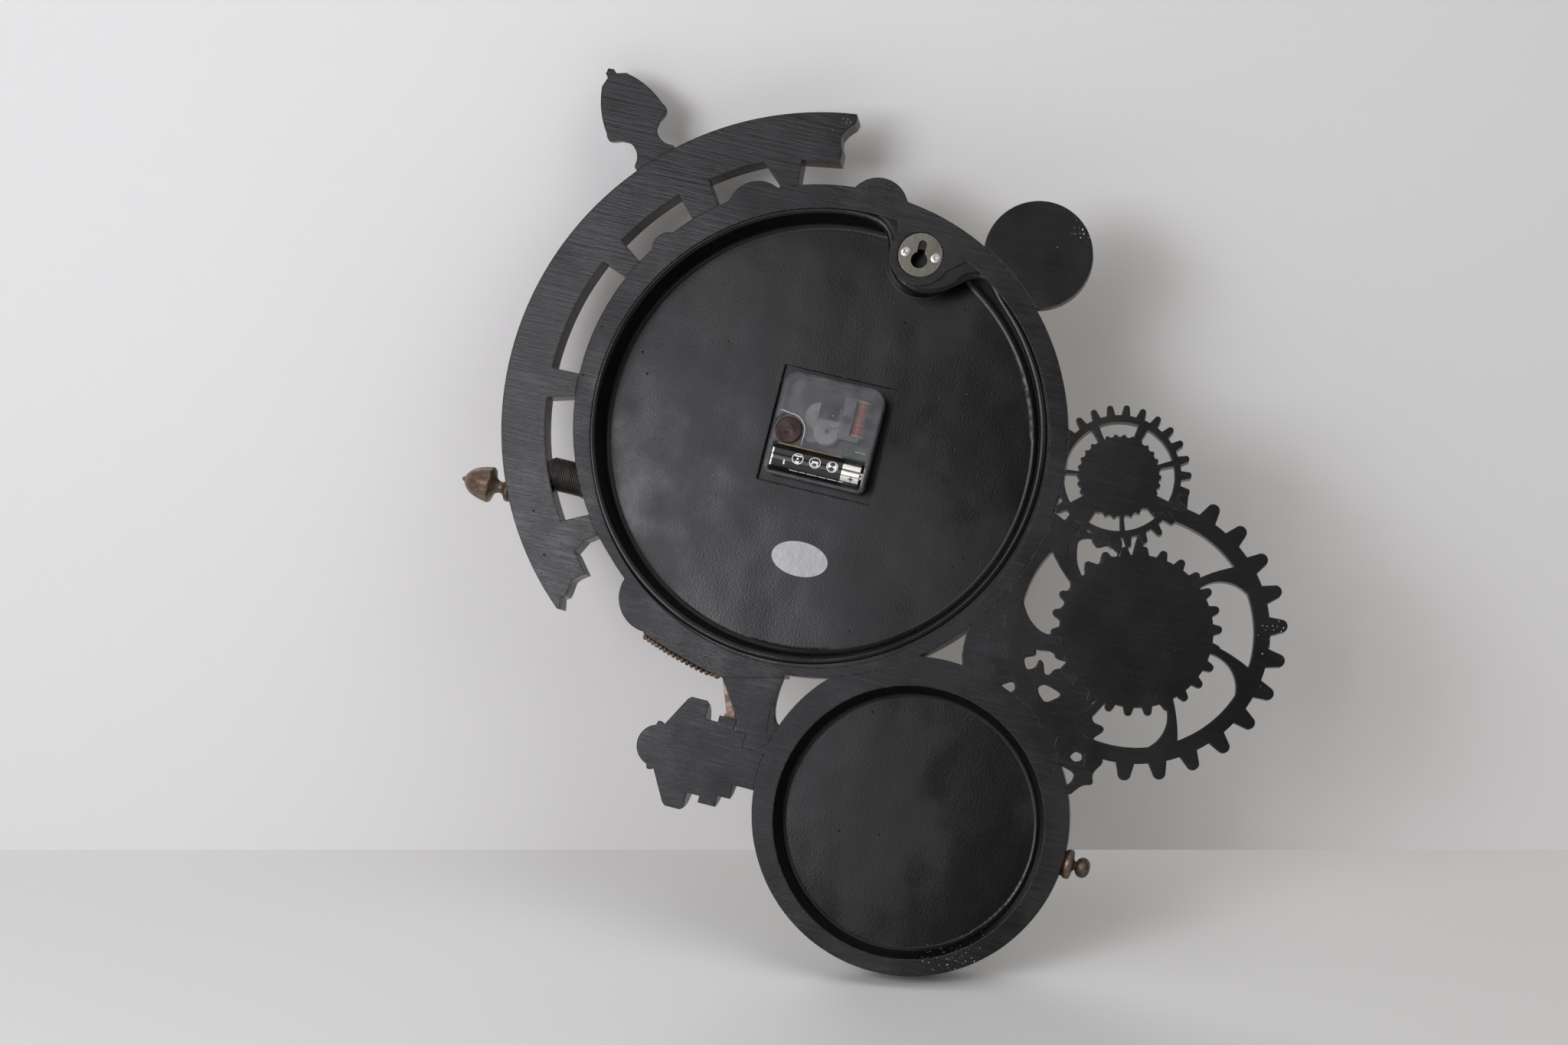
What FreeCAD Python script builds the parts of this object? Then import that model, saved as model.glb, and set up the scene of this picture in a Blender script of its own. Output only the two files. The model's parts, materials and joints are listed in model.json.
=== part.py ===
import FreeCAD
import Part
import math
import os
import Sketcher
from FreeCAD import Placement, Rotation, Vector

# Steampunk wall clock, seen from its back: X runs to the left of that view, Z up as it hangs.
# Y = 0 is the sanded back that rests on the wall, and the front of the clock lies towards -Y.
# The origin is on the axis of the hands.

SIZES = {
    # Main housing: two overlapping rounds, a deep hollow and its floor
    "main_radius": 131.0, "main_x": 7.0, "main_z": 1.0,
    "full_excess": 2.0, "full_x": 1.0, "full_z": -2.0,
    "hollow_wall": 7.5, "hollow_x": 3.8, "hollow_z": -3.8,
    "hollow_floor_wall": 5.0, "hollow_draft": 5.0, "hollow_floor_round": 3.5,
    "housing_depth": 26.0,
    "ledge_wall": 6.5, "ledge_x": 1.7, "ledge_z": -5.9, "ledge_depth": 2.0,
    "pocket_margin": 4.0, "pocket_depth": 2.5,
    "top_lobe_radius": 16.8, "top_lobe_inset": 8.6,
    "window_lobe_radius": 17.0, "window_lobe_inset": 10.6,
    "small_lobe_radius": 9.3, "small_lobe_inset": 6.0,
    "lower_lobe_radius": 19.3, "lower_lobe_inset": 3.9,
    # Hanger boss and its keyhole plate
    "boss_inset": 11.44, "boss_rim": 4.9, "boss_draft": 3.0,
    "hanger_radius": 12.1, "hanger_thickness": 1.0, "hanger_inset": 0.6,
    "hanger_seat_play": 0.4, "keyhole_radius": 4.5, "keyhole_drop": 2.9,
    "keyhole_slot_width": 4.3, "keyhole_slot_length": 11.0,
    "hanger_well_radius": 6.2, "hanger_well_depth": 9.0,
    "hanger_screw_edge": 1.0, "hanger_screw_radius": 2.8,
    "hanger_screw_dome": 1.3, "hanger_screw_shank": 1.3, "hanger_screw_length": 6.0,
    # Outer arc band with its windows, moulding and rivets
    "band_reach": 40.0, "band_gap": 15.6, "band_thickness": 16.0,
    "moulding_radius": 6.5, "moulding_inset": 4.9,
    "rivet_radius": 2.6, "rivet_dome": 1.8, "rivet_play": 0.3,
    # Turned finials, stud and knob
    "top_finial_length": 58.0, "top_finial_radius": 18.2,
    "side_finial_length": 28.0, "side_finial_radius": 10.0, "side_finial_play": 0.2,
    "stud_radius": 7.2, "stud_rib": 0.5, "stud_pitch": 1.45,
    "stud_collar_radius": 9.6, "stud_collar_length": 3.4,
    "crown_length": 14.5, "crown_radius": 8.0, "crown_play": 1.0,
    # Upper roundel
    "roundel_radius": 29.3, "roundel_depth": 9.0, "roundel_overlap": 11.8,
    "dome_step": 4.3, "dome_height": 15.0,
    # Lower housing and its front gauge
    "lower_radius": 84.5, "lower_depth": 22.0, "lower_overlap": 5.8,
    "lower_wall": 12.3, "lower_hollow_depth": 12.0, "lower_hollow_draft": 4.0,
    "lower_hollow_shift": 3.6,
    "gauge_step": 6.5, "gauge_bezel_width": 17.0, "gauge_bezel_height": 13.0,
    "gauge_face_thickness": 1.6, "gauge_face_play": 0.1, "gauge_tick_length": 9.0,
    "gauge_tick_width": 1.6, "gauge_tick_height": 0.7, "gauge_tick_margin": 3.0,
    "needle_gap": 15.0, "needle_tail": 15.0, "needle_width": 5.0,
    "needle_thickness": 1.6, "needle_lift": 1.4, "needle_hub_radius": 7.0,
    "needle_hub_height": 5.0,
    # Valve arm, wedge and funnel
    "arm_length": 71.0, "arm_radius": 30.0, "arm_rise": 2.6, "arm_overlap": 3.5,
    "wedge_thickness": 6.0, "wedge_crease": 0.8,
    "funnel_top_radius": 20.0, "funnel_foot_radius": 9.5, "funnel_length": 27.0,
    "funnel_wall": 2.4, "funnel_shift": 6.0, "funnel_drop": 9.5,
    "rope_radius": 1.9, "rope_pitch": 2.7, "rope_y": -4.5,
    # Ornamental gears
    "large_gear_radius": 79.0, "large_tooth": 9.0, "large_rim_width": 8.5,
    "large_window_width": 16.5, "large_disc_tooth": 4.5, "large_gear_thickness": 14.0,
    "large_gear_overlap": 11.8,
    "small_gear_radius": 38.2, "small_tooth": 5.4, "small_rim_width": 3.6,
    "small_window_width": 6.8, "small_disc_tooth": 1.2, "small_gear_thickness": 12.0,
    "small_gear_overlap": 9.2,
    "bridge_thickness": 9.0,
    "large_boss_radius": 27.0, "large_boss_height": 11.0,
    "small_boss_radius": 13.0, "small_boss_height": 8.0,
    # Front of the clock
    "bezel_step": 4.0, "bezel_width": 23.0, "bezel_height": 15.0,
    "dial_play": 0.1, "dial_thickness": 1.5,
    "numeral_inset": 20.0, "numeral_height": 17.0, "numeral_stroke": 2.4,
    "numeral_hair": 1.2, "numeral_step": 4.6, "numeral_relief": 0.8,
    "track_inset": 5.2, "track_width": 1.6, "tick_length": 3.4, "tick_width": 0.9,
    # Quartz movement: case, cover and battery bay
    "case_head": 39.9, "case_foot": 2.3, "case_side_room": 2.75, "case_depth": 15.0,
    "case_corner": 7.5, "case_foot_corner": 4.0, "case_wall": 1.4, "case_tray": 6.0,
    "cover_wall": 1.0, "bay_top_z": -12.4, "knob_recess": 2.2, "knob_recess_play": 1.7,
    # Battery
    "battery_radius": 7.1, "battery_length": 50.5, "battery_x": -0.5, "bay_play": 0.6,
    "battery_floor_play": 0.7, "jacket_thickness": 0.15, "jacket_bare": 11.3,
    "nub_radius": 2.75, "nub_length": 1.2, "contact_thickness": 0.5, "contact_play": 0.3,
    # Wheel train
    "running_play": 0.05, "wheel_thickness": 0.9, "layer_pitch": 1.3, "layer_start": 0.4,
    "minute_module": 0.4, "fine_module": 0.25, "rotor_radius": 2.0, "rotor_height": 1.9,
    "second_shaft_radius": 0.5, "minute_pipe_radius": 1.5, "hour_pipe_radius": 2.5,
    "bushing_radius": 4.0, "train_shaft_radius": 0.5, "pivot_depth": 0.9,
    "post_radius": 1.6, "knob_radius": 7.4, "knob_thickness": 1.9,
    # Coil, stator and board
    "coil_margin": 10.8, "coil_z": 10.0, "coil_length": 18.0, "coil_radius": 3.1,
    "bobbin_radius": 3.6, "bobbin_bore": 1.9, "bobbin_flange": 1.0,
    "stator_thickness": 1.0, "stator_leg": 2.6, "stator_web": 0.75, "stator_gap": 0.35,
    "board_width": 17.0, "board_height": 7.0, "board_thickness": 1.0,
    "chip_radius": 2.2, "chip_height": 0.9, "crystal_radius": 1.0, "crystal_length": 6.0,
    # Hands and their fastening
    "washer_radius": 8.0, "washer_thickness": 0.5, "nut_flats": 13.0, "nut_height": 1.9,
    "hour_hand_gap": 42.0, "minute_hand_gap": 14.0, "second_hand_gap": 16.0,
    "hand_thickness": 0.8, "hand_hub_radius": 6.0, "hand_step": 2.2, "hand_lift": 2.6,
    "hour_hand_width": 9.0, "minute_hand_width": 7.0, "second_hand_width": 2.4,
    "second_hand_tail": 26.0,
    # Bare oval plate on the hollow's floor
    "label_width": 31.5, "label_height": 19.0, "label_thickness": 0.4,
    "label_x": -2.1, "label_z": -71.0,
}

# Angles, counts and shares that are not lengths
TOP_LOBE_ANGLE, WINDOW_LOBE_ANGLE, SMALL_LOBE_ANGLE, LOWER_LOBE_ANGLE = 93.0, 61.7, 36.9, -61.8
LOWER_ANGLE, ROUNDEL_ANGLE, SMALL_GEAR_ANGLE, LARGE_GEAR_ANGLE = 242.9, 127.4, 175.4, 198.9
FINIAL_ANGLE, SIDE_ANGLE, SIDE_TILT, CROWN_ANGLE = 131.5, -24.2, -18.0, 183.0
MINUTE_TEETH, MINUTE_WHEEL_TEETH, SETTING_TEETH = 10, 30, 30
HOUR_PINION_TEETH, HOUR_TEETH = 10, 40
SECOND_TEETH, SECOND_PINION_TEETH, THIRD_TEETH, THIRD_PINION_TEETH = 60, 8, 60, 8
CENTRE_TEETH, STEP_PINION_TEETH, STEP_TEETH, ROTOR_TEETH = 64, 10, 50, 10
SETTING_ANGLE, STEP_ANGLE, THIRD_ANGLE, ROTOR_ANGLE = -13.2, 105.0, 50.1, 180.0
ORNAMENT_TEETH, SMALL_DISC_TEETH, SPOKES = 26, 30, 7
BOSS_ANGLE, FINIAL_FOOT_ANGLE, SPOKE_ANGLE = 106.75, 45.6, 128.5
MOULDING_ANGLES = (-44.0, 78.0)
NUMERALS = ("XII", "I", "II", "III", "IIII", "V", "VI", "VII", "VIII", "IX", "X", "XI")

# Sizes that follow from the named ones
SUMS = {
    "full_radius": "(Sizes.main_radius + Sizes.full_excess)",
    "hollow_radius": "(Sizes.main_radius - Sizes.hollow_wall)",
    "ledge_radius": "(Sizes.main_radius - Sizes.ledge_wall)",
    "boss_radius": "(Sizes.hanger_radius + Sizes.boss_rim)",
    "screw_offset": "(Sizes.hanger_radius - Sizes.hanger_screw_radius - Sizes.hanger_screw_edge)",
    "band_radius": "(Sizes.main_radius + Sizes.band_reach)",
    "band_inner_radius": "(Sizes.main_radius + Sizes.band_gap)",
    "side_finial_y": "(0 - Sizes.side_finial_radius - Sizes.side_finial_play)",
    "crown_y": "(0 - Sizes.crown_radius - Sizes.crown_play)",
    "dome_radius": "(Sizes.roundel_radius - Sizes.dome_step)",
    "lower_hollow_radius": "(Sizes.lower_radius - Sizes.lower_wall)",
    "gauge_bezel_outer": "(Sizes.lower_radius - Sizes.gauge_step)",
    "large_gear_root": "(Sizes.large_gear_radius - Sizes.large_tooth)",
    "small_gear_root": "(Sizes.small_gear_radius - Sizes.small_tooth)",
    "bezel_outer": "(Sizes.main_radius - Sizes.bezel_step)",
    "case_width": "(Sizes.battery_length + Sizes.case_side_room * 2)",
    "hollow_depth": "(Sizes.housing_depth - Sizes.hollow_floor_wall)",
    "case_front": "(Sizes.hollow_floor_wall - Sizes.housing_depth - Sizes.pocket_depth)",
    "battery_z": "(Sizes.bay_top_z - Sizes.bay_play - Sizes.battery_radius)",
    "hour_module": f"(Sizes.minute_module * {MINUTE_TEETH + MINUTE_WHEEL_TEETH}"
                   f" / {HOUR_PINION_TEETH + HOUR_TEETH})",
    "third_distance": f"(Sizes.fine_module * {THIRD_PINION_TEETH + CENTRE_TEETH} / 2)",
    "stator_tongue": "((Sizes.rotor_radius + Sizes.stator_gap + Sizes.stator_web) * 2)",
}
for name, start, steps in (
        ("moulding_place", "band_inner_radius", "+ Sizes.moulding_inset + Sizes.moulding_radius"),
        ("gauge_bezel_inner", "gauge_bezel_outer", "- Sizes.gauge_bezel_width"),
        ("needle_length", "gauge_bezel_inner", "- Sizes.needle_gap"),
        ("large_gear_rim", "large_gear_root", "- Sizes.large_rim_width"),
        ("large_disc_radius", "large_gear_rim", "- Sizes.large_window_width"),
        ("large_disc_root", "large_disc_radius", "- Sizes.large_disc_tooth"),
        ("small_gear_rim", "small_gear_root", "- Sizes.small_rim_width"),
        ("small_disc_radius", "small_gear_rim", "- Sizes.small_window_width"),
        ("small_disc_root", "small_disc_radius", "- Sizes.small_disc_tooth"),
        ("bezel_inner", "bezel_outer", "- Sizes.bezel_width"),
        ("dial_radius", "bezel_inner", "- Sizes.dial_play"),
        ("numeral_radius", "bezel_inner", "- Sizes.numeral_inset"),
        ("track_outer", "bezel_inner", "- Sizes.track_inset"),
        ("track_inner", "track_outer", "- Sizes.track_width"),
        ("hour_hand_length", "bezel_inner", "- Sizes.hour_hand_gap"),
        ("minute_hand_length", "bezel_inner", "- Sizes.minute_hand_gap"),
        ("second_hand_length", "bezel_inner", "- Sizes.second_hand_gap"),
        ("case_floor", "case_front", "+ Sizes.case_wall"),
        ("case_low", "battery_z", "- Sizes.battery_radius - Sizes.case_foot"),
        ("battery_y", "case_floor", "+ Sizes.battery_floor_play + Sizes.battery_radius"),
        ("coil_x", "case_width", "* (0 - 1 / 2) + Sizes.coil_margin")):
    SUMS[name] = f"({SUMS[start]} {steps})"
SUMS["case_height"] = f"(Sizes.bay_top_z + Sizes.case_head - {SUMS['case_low']})"
SUMS["case_z"] = f"((Sizes.bay_top_z + Sizes.case_head + {SUMS['case_low']}) / 2)"
BOSS_REACH = f"({SUMS['hollow_radius']} - Sizes.boss_inset)"
SUMS["boss_x"] = f"(Sizes.hollow_x + {BOSS_REACH} * cos({BOSS_ANGLE} deg))"
SUMS["boss_z"] = f"(Sizes.hollow_z + {BOSS_REACH} * sin({BOSS_ANGLE} deg))"

doc = FreeCAD.newDocument("wall_clock")
sheet = doc.addObject("Spreadsheet::Sheet", "Sizes")
for row, (alias, number) in enumerate(SIZES.items(), start=1):
    sheet.set(f"A{row}", alias)
    sheet.set(f"B{row}", str(number))
    sheet.setAlias(f"B{row}", alias)
doc.recompute()
subparts = []


# Reading sizes and placing things
def mm(alias):
    """The value of a size that the sheet names, or of one that follows from them."""
    return float(sheet.evalExpression(SUMS.get(alias, f"Sizes.{alias}")))


def polar(x, z, radius, degrees):
    """A point at an angle from +X towards +Z about a centre in the back plane."""
    turn = math.radians(degrees)
    return x + radius * math.cos(turn), z + radius * math.sin(turn)


def point(place, y=0.0):
    return Vector(place[0], y, place[1])


def keep(label, shape):
    """Store a finished shape as a sub-part of its own."""
    made = doc.addObject("Part::Feature", label)
    made.Label = label
    made.Shape = shape
    made.Placement = shape.Placement
    subparts.append(made)
    return made


# Plain solids along the front-back axis
def disc(place, radius, back, front):
    return Part.makeCylinder(radius, back - front, point(place, back), Vector(0, -1, 0))


def block(x_low, x_high, z_low, z_high, back, front):
    return Part.makeBox(x_high - x_low, back - front, z_high - z_low, Vector(x_low, front, z_low))


def slab(face, back, front):
    moved = face.copy()
    moved.translate(Vector(0, back, 0))
    return moved.extrude(Vector(0, front - back, 0))


def polygon(places):
    corners = [point(place) for place in places]
    return Part.Face(Part.makePolygon(corners + corners[:1]))


def curved_face(stretches):
    """A face from stretches: two points make a line, three an arc, more a smooth curve."""
    edges = []
    for stretch in stretches:
        corners = [point(place) for place in stretch]
        if len(corners) == 2:
            edges.append(Part.makeLine(*corners))
        elif len(corners) == 3:
            edges.append(Part.Arc(*corners).toShape())
        else:
            curve = Part.BSplineCurve()
            curve.interpolate(corners)
            edges.append(curve.toShape())
    return Part.Face(Part.Wire(edges))


def turned(stretches, degrees=360.0, start=0.0):
    """A turned solid about the line X = 0: each place is (radius, distance along +Z)."""
    face = curved_face(stretches)
    face.rotate(Vector(), Vector(0, 0, 1), start)
    return face.revolve(Vector(), Vector(0, 0, 1), degrees)


def chain(places, smooth=()):
    """Join places into stretches; the numbers in smooth begin an arc over three places."""
    stretches, index = [], 0
    while index < len(places) - 1:
        step = 2 if index in smooth else 1
        stretches.append(places[index:index + step + 1])
        index += step
    return stretches + [[places[-1], places[0]]]


def cap(radius, low, high):
    """Three places of a round cap that meets the axis squarely at its top."""
    height = high - low
    sphere = (radius ** 2 + height ** 2) / (2 * height)
    half = math.atan2(radius, sphere - height) / 2
    middle = (sphere * math.sin(half), high - sphere + sphere * math.cos(half))
    return [(radius, low), middle, (0.0, high)]


def about_y(solid, place, y=0.0):
    """Stand a turned solid on a point with its length running to the front."""
    solid.rotate(Vector(), Vector(1, 0, 0), 90)
    solid.translate(point(place, y))
    return solid


def laid(solid, place, degrees, y=0.0):
    """Lay a turned solid in the back plane with its length at an angle from +X."""
    solid.rotate(Vector(), Vector(0, 1, 0), 90 - degrees)
    solid.translate(point(place, y))
    return solid


def toothed_face(place, teeth, tip, root, foot_share, tip_share, phase, round_tip=False):
    """A gear's outline: the shares are parts of a tooth's pitch angle."""
    pitch = 360.0 / teeth
    edges = []
    for tooth in range(teeth):
        middle = phase + tooth * pitch
        foot_in = polar(*place, root, middle - pitch * foot_share)
        foot_out = polar(*place, root, middle + pitch * foot_share)
        shoulder = tip - (tip - root) * (0.35 if round_tip else 0)
        tip_in = polar(*place, shoulder, middle - pitch * tip_share)
        tip_out = polar(*place, shoulder, middle + pitch * tip_share)
        next_foot = polar(*place, root, middle + pitch * (1 - foot_share))
        valley = polar(*place, root, middle + pitch / 2)
        edges.append([foot_in, tip_in])
        edges.append([tip_in, polar(*place, tip, middle), tip_out])
        edges.append([tip_out, foot_out])
        edges.append([foot_out, valley, next_foot])
    return curved_face(edges)


# Document objects whose sizes are bound to the sheet
def bind(made, **expressions):
    for name, expression in expressions.items():
        made.setExpression(name.replace("__", "."), expression)
    return made


def finish(made, label, x="0", y="0", z="0"):
    made.Label = label
    for axis, expression in (("x", x), ("y", y), ("z", z)):
        made.setExpression(f"Placement.Base.{axis}", expression)
    subparts.append(made)
    return made


TO_FRONT = Rotation(Vector(1, 0, 0), 90)
ALONG_X = Rotation(Vector(0, 1, 0), 90)
UPRIGHT = Rotation()


def rod(name, radius, height, heading=TO_FRONT, **place):
    """A cylinder whose length runs to the front, along X or upwards."""
    made = doc.addObject("Part::Cylinder", name)
    made.Placement = Placement(Vector(), heading)
    bind(made, Radius=radius, Height=height)
    for axis, expression in place.items():
        made.setExpression(f"Placement.Base.{axis}", expression)
    return made


def box(name, length, width, height, **place):
    made = doc.addObject("Part::Box", name)
    bind(made, Length=length, Width=width, Height=height)
    for axis, expression in place.items():
        made.setExpression(f"Placement.Base.{axis}", expression)
    return made


def cut(name, base, tool):
    made = doc.addObject("Part::Cut", name)
    made.Base = base
    made.Tool = tool
    return made


def fuse(name, *pieces):
    made = doc.addObject("Part::MultiFuse", name)
    made.Shapes = list(pieces)
    return made


def sketch_on(body, role, name):
    sketch = body.newObject("Sketcher::SketchObject", name)
    plane = [feature for feature in body.Origin.OriginFeatures if feature.Role == role][0]
    sketch.AttachmentSupport = (plane, [""])
    sketch.MapMode = "FlatFace"
    return sketch


def pin_point(sketch, index, end, x, y):
    for kind, expression, axis in (("DistanceX", x, -2), ("DistanceY", y, -1)):
        if expression == "0":
            sketch.addConstraint(Sketcher.Constraint("PointOnObject", index, end, axis))
            continue
        value = float(sheet.evalExpression(expression))
        number = sketch.addConstraint(Sketcher.Constraint(kind, -1, 1, index, end, value))
        sketch.setExpression(f"Constraints[{number}]", expression)


def draw_polygon(sketch, corners):
    values = [Vector(*[float(sheet.evalExpression(part)) for part in corner], 0)
              for corner in corners]
    first = sketch.GeometryCount
    count = len(corners)
    for index in range(count):
        sketch.addGeometry(Part.LineSegment(values[index], values[(index + 1) % count]))
    for index in range(count):
        sketch.addConstraint(Sketcher.Constraint(
            "Coincident", first + index, 2, first + (index + 1) % count, 1))
    for index, corner in enumerate(corners):
        pin_point(sketch, first + index, 1, *corner)


def draw_circle(sketch, radius, x="0", y="0"):
    centre = Vector(float(sheet.evalExpression(x)), float(sheet.evalExpression(y)), 0)
    value = float(sheet.evalExpression(radius))
    index = sketch.addGeometry(Part.Circle(centre, Vector(0, 0, 1), value))
    number = sketch.addConstraint(Sketcher.Constraint("Radius", index, value))
    sketch.setExpression(f"Constraints[{number}]", radius)
    pin_point(sketch, index, 3, x, y)


def lathe(label, corners, x="0", y="0", z="0"):
    """A body turned about the front-back axis: corners are (radius, distance) expressions."""
    body = doc.addObject("PartDesign::Body", label)
    sketch = sketch_on(body, "XY_Plane", f"{label}_profile")
    draw_polygon(sketch, corners)
    turn = body.newObject("PartDesign::Revolution", f"{label}_turn")
    turn.Profile = sketch
    turn.ReferenceAxis = (sketch, ["V_Axis"])
    turn.Angle = 360
    return finish(body, label, x, y, z)


def plate(label, draw, thickness, x="0", y="0", z="0"):
    """A flat body cut from sheet: draw puts the outline and its holes on the sketch."""
    body = doc.addObject("PartDesign::Body", label)
    sketch = sketch_on(body, "XZ_Plane", f"{label}_outline")
    draw(sketch)
    pad = body.newObject("PartDesign::Pad", f"{label}_pad")
    pad.Profile = sketch
    pad.setExpression("Length", thickness)
    return finish(body, label, x, y, z)


# Places that several castings share
MAIN = (mm("main_x"), mm("main_z"))
FULL = (mm("full_x"), mm("full_z"))
HOLLOW = (mm("hollow_x"), mm("hollow_z"))
ARBOR = (0.0, 0.0)


def rim_place(degrees, radius, overlap):
    """The centre of a round casting that bites into the main housing's rim."""
    return polar(*FULL, mm("full_radius") + mm(radius) - mm(overlap), degrees)


LOWER = rim_place(LOWER_ANGLE, "lower_radius", "lower_overlap")
ROUNDEL = rim_place(ROUNDEL_ANGLE, "roundel_radius", "roundel_overlap")
SMALL_GEAR = rim_place(SMALL_GEAR_ANGLE, "small_gear_radius", "small_gear_overlap")
LARGE_GEAR = rim_place(LARGE_GEAR_ANGLE, "large_gear_radius", "large_gear_overlap")


def scaled(shares, size, place=(0.0, 0.0)):
    return [(place[0] + size * x, place[1] + size * z) for x, z in shares]


# Main housing
def rounded_pit(place, mouth, draft, depth, corner):
    """A round hollow with sloping walls and a rounded foot, to be cut from a back at Y = 0."""
    foot = mouth - draft
    lean = draft / depth
    wall_end = (foot + lean * corner, depth - corner)
    bend = (foot - corner * 0.2, depth - corner * 0.2)
    profile = [(0.0, 0.0), (mouth, 0.0), wall_end, bend, (foot - corner, depth), (0.0, depth)]
    return about_y(turned(chain(profile, smooth=(2,))), place)


def housing_outline():
    depth = mm("housing_depth")
    radius = mm("main_radius")
    rounds = [disc(MAIN, radius, 0, -depth), disc(FULL, mm("full_radius"), 0, -depth)]
    for angle, name in ((TOP_LOBE_ANGLE, "top"), (WINDOW_LOBE_ANGLE, "window"),
                        (SMALL_LOBE_ANGLE, "small"), (LOWER_LOBE_ANGLE, "lower")):
        centre = polar(*MAIN, radius - mm(f"{name}_lobe_inset"), angle)
        rounds.append(disc(centre, mm(f"{name}_lobe_radius"), 0, -depth))
    outer = [scaled([place], radius)[0] for place in SKIRT_SHARES]
    skirt = curved_face([outer[0:3], outer[2:4], outer[3:5], outer[4:6], [outer[5], outer[0]]])
    return rounds[0].multiFuse(rounds[1:] + [slab(skirt, 0, -depth)])


SKIRT_SHARES = [(0.519, -1.0), (0.344, -1.056), (0.160, -1.099), (-0.092, -1.038),
                (-0.092, -0.84), (0.458, -0.84)]
BOSS_WEB_SHARES = [(0.93, 0.0), (0.93, 1.5), (-2.0, 0.55), (-0.5, -0.72)]


def hanger_boss():
    """The tongue that carries the hanger, wider at the hollow's floor than at the back."""
    depth = mm("hollow_depth")
    centre = (mm("boss_x"), mm("boss_z"))
    over_share = 0.2
    back, front = depth * over_share, -depth * (1 + over_share)
    small = mm("boss_radius") - mm("boss_draft") * over_share
    large = mm("boss_radius") + mm("boss_draft") * (1 + over_share)
    tongue = Part.makeCone(small, large, back - front, point(centre, back), Vector(0, -1, 0))
    levels = []
    for level, grown in ((back, small), (front, large)):
        corners = [point(place, level) for place in scaled(BOSS_WEB_SHARES, grown, centre)]
        levels.append(Part.makePolygon(corners + corners[:1]))
    return tongue.fuse(Part.makeLoft(levels, True, True))


def make_main_housing():
    depth = mm("hollow_depth")
    front = -mm("housing_depth")
    hollow = rounded_pit(HOLLOW, mm("hollow_radius"), mm("hollow_draft"), depth,
                         mm("hollow_floor_round")).cut(hanger_boss())
    ledge_place = (mm("ledge_x"), mm("ledge_z"))
    ledge = disc(ledge_place, mm("ledge_radius"), 0, -mm("ledge_depth")).cut(hanger_boss())
    half_width = mm("case_width") / 2 + mm("pocket_margin")
    half_height = mm("case_height") / 2 + mm("pocket_margin")
    pocket_floor = -depth - mm("pocket_depth")
    pocket = block(-half_width, half_width, mm("case_z") - half_height,
                   mm("case_z") + half_height, -depth, pocket_floor)
    boss = (mm("boss_x"), mm("boss_z"))
    plate_back = -mm("hanger_inset")
    plate_front = plate_back - mm("hanger_thickness")
    seat = disc(boss, mm("hanger_radius") + mm("hanger_seat_play"), 0, plate_front)
    entry = (boss[0], boss[1] - mm("keyhole_drop"))
    well_floor = plate_front - mm("hanger_well_depth")
    well = disc(entry, mm("hanger_well_radius"), plate_front, well_floor)
    slot_half = mm("hanger_well_radius") * 0.8
    slot_top = entry[1] + mm("keyhole_slot_length") - slot_half
    slot = block(boss[0] - slot_half, boss[0] + slot_half, entry[1], slot_top,
                 plate_front, well_floor)
    holes = [disc((boss[0] + side * mm("screw_offset"), boss[1]),
                  mm("hanger_screw_shank"), plate_front, plate_front - mm("hanger_screw_length"))
             for side in (-1, 1)]
    bore = disc(ARBOR, mm("bushing_radius") + mm("hanger_seat_play"), pocket_floor, front)
    housing = housing_outline().cut([hollow, ledge, pocket, seat, well, slot, bore] + holes)
    return housing.removeSplitter()


housing = make_main_housing()
keep("main_housing", housing)


# Hanger plate with its keyhole, and its two domed screws
def make_hanger_plate():
    across, back = SUMS["boss_x"], "-Sizes.hanger_inset"
    centre = SUMS["boss_z"]
    entry = f"{centre} - Sizes.keyhole_drop"
    slot_height = "Sizes.keyhole_slot_length - Sizes.keyhole_slot_width / 2"
    thick = "Sizes.hanger_thickness"
    plain = rod("hanger_disc", "Sizes.hanger_radius", thick, x=across, y=back, z=centre)
    holes = [
        rod("keyhole_entry", "Sizes.keyhole_radius", thick, x=across, y=back, z=entry),
        rod("keyhole_top", "Sizes.keyhole_slot_width / 2", thick, x=across, y=back,
            z=f"{entry} + {slot_height}"),
        box("keyhole_slot", "Sizes.keyhole_slot_width", thick, slot_height,
            x=f"{across} - Sizes.keyhole_slot_width / 2",
            y=f"{back} - Sizes.hanger_thickness", z=entry),
    ]
    for name, sign in (("left", "+"), ("right", "-")):
        holes.append(rod(f"hanger_hole_{name}", "Sizes.hanger_screw_shank", thick,
                         x=f"{across} {sign} {SUMS['screw_offset']}", y=back, z=centre))
    finish(cut("hanger_cut", plain, fuse("hanger_holes", *holes)), "hanger_plate")


def domed_head(radius, height, place, back, shank=0.0, length=0.0):
    """A low round head that points to the back, with a shank under it."""
    solid = turned([[(0.0, 0.0), (radius, 0.0)], cap(radius, 0.0, height),
                    [(0.0, height), (0.0, 0.0)]])
    solid.rotate(Vector(), Vector(1, 0, 0), -90)
    solid.translate(point(place, back))
    if length:
        solid = solid.fuse(disc(place, shank, back, back - length))
    return solid


def make_hanger_screws():
    back = -mm("hanger_inset")
    screws = []
    for side in (-1, 1):
        place = (mm("boss_x") + side * mm("screw_offset"), mm("boss_z"))
        screws.append(domed_head(mm("hanger_screw_radius"), mm("hanger_screw_dome") * 0.45, place,
                                 back, mm("hanger_screw_shank"),
                                 mm("hanger_screw_length")))
    return Part.makeCompound(screws)


make_hanger_plate()
keep("hanger_screws", make_hanger_screws())

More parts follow.
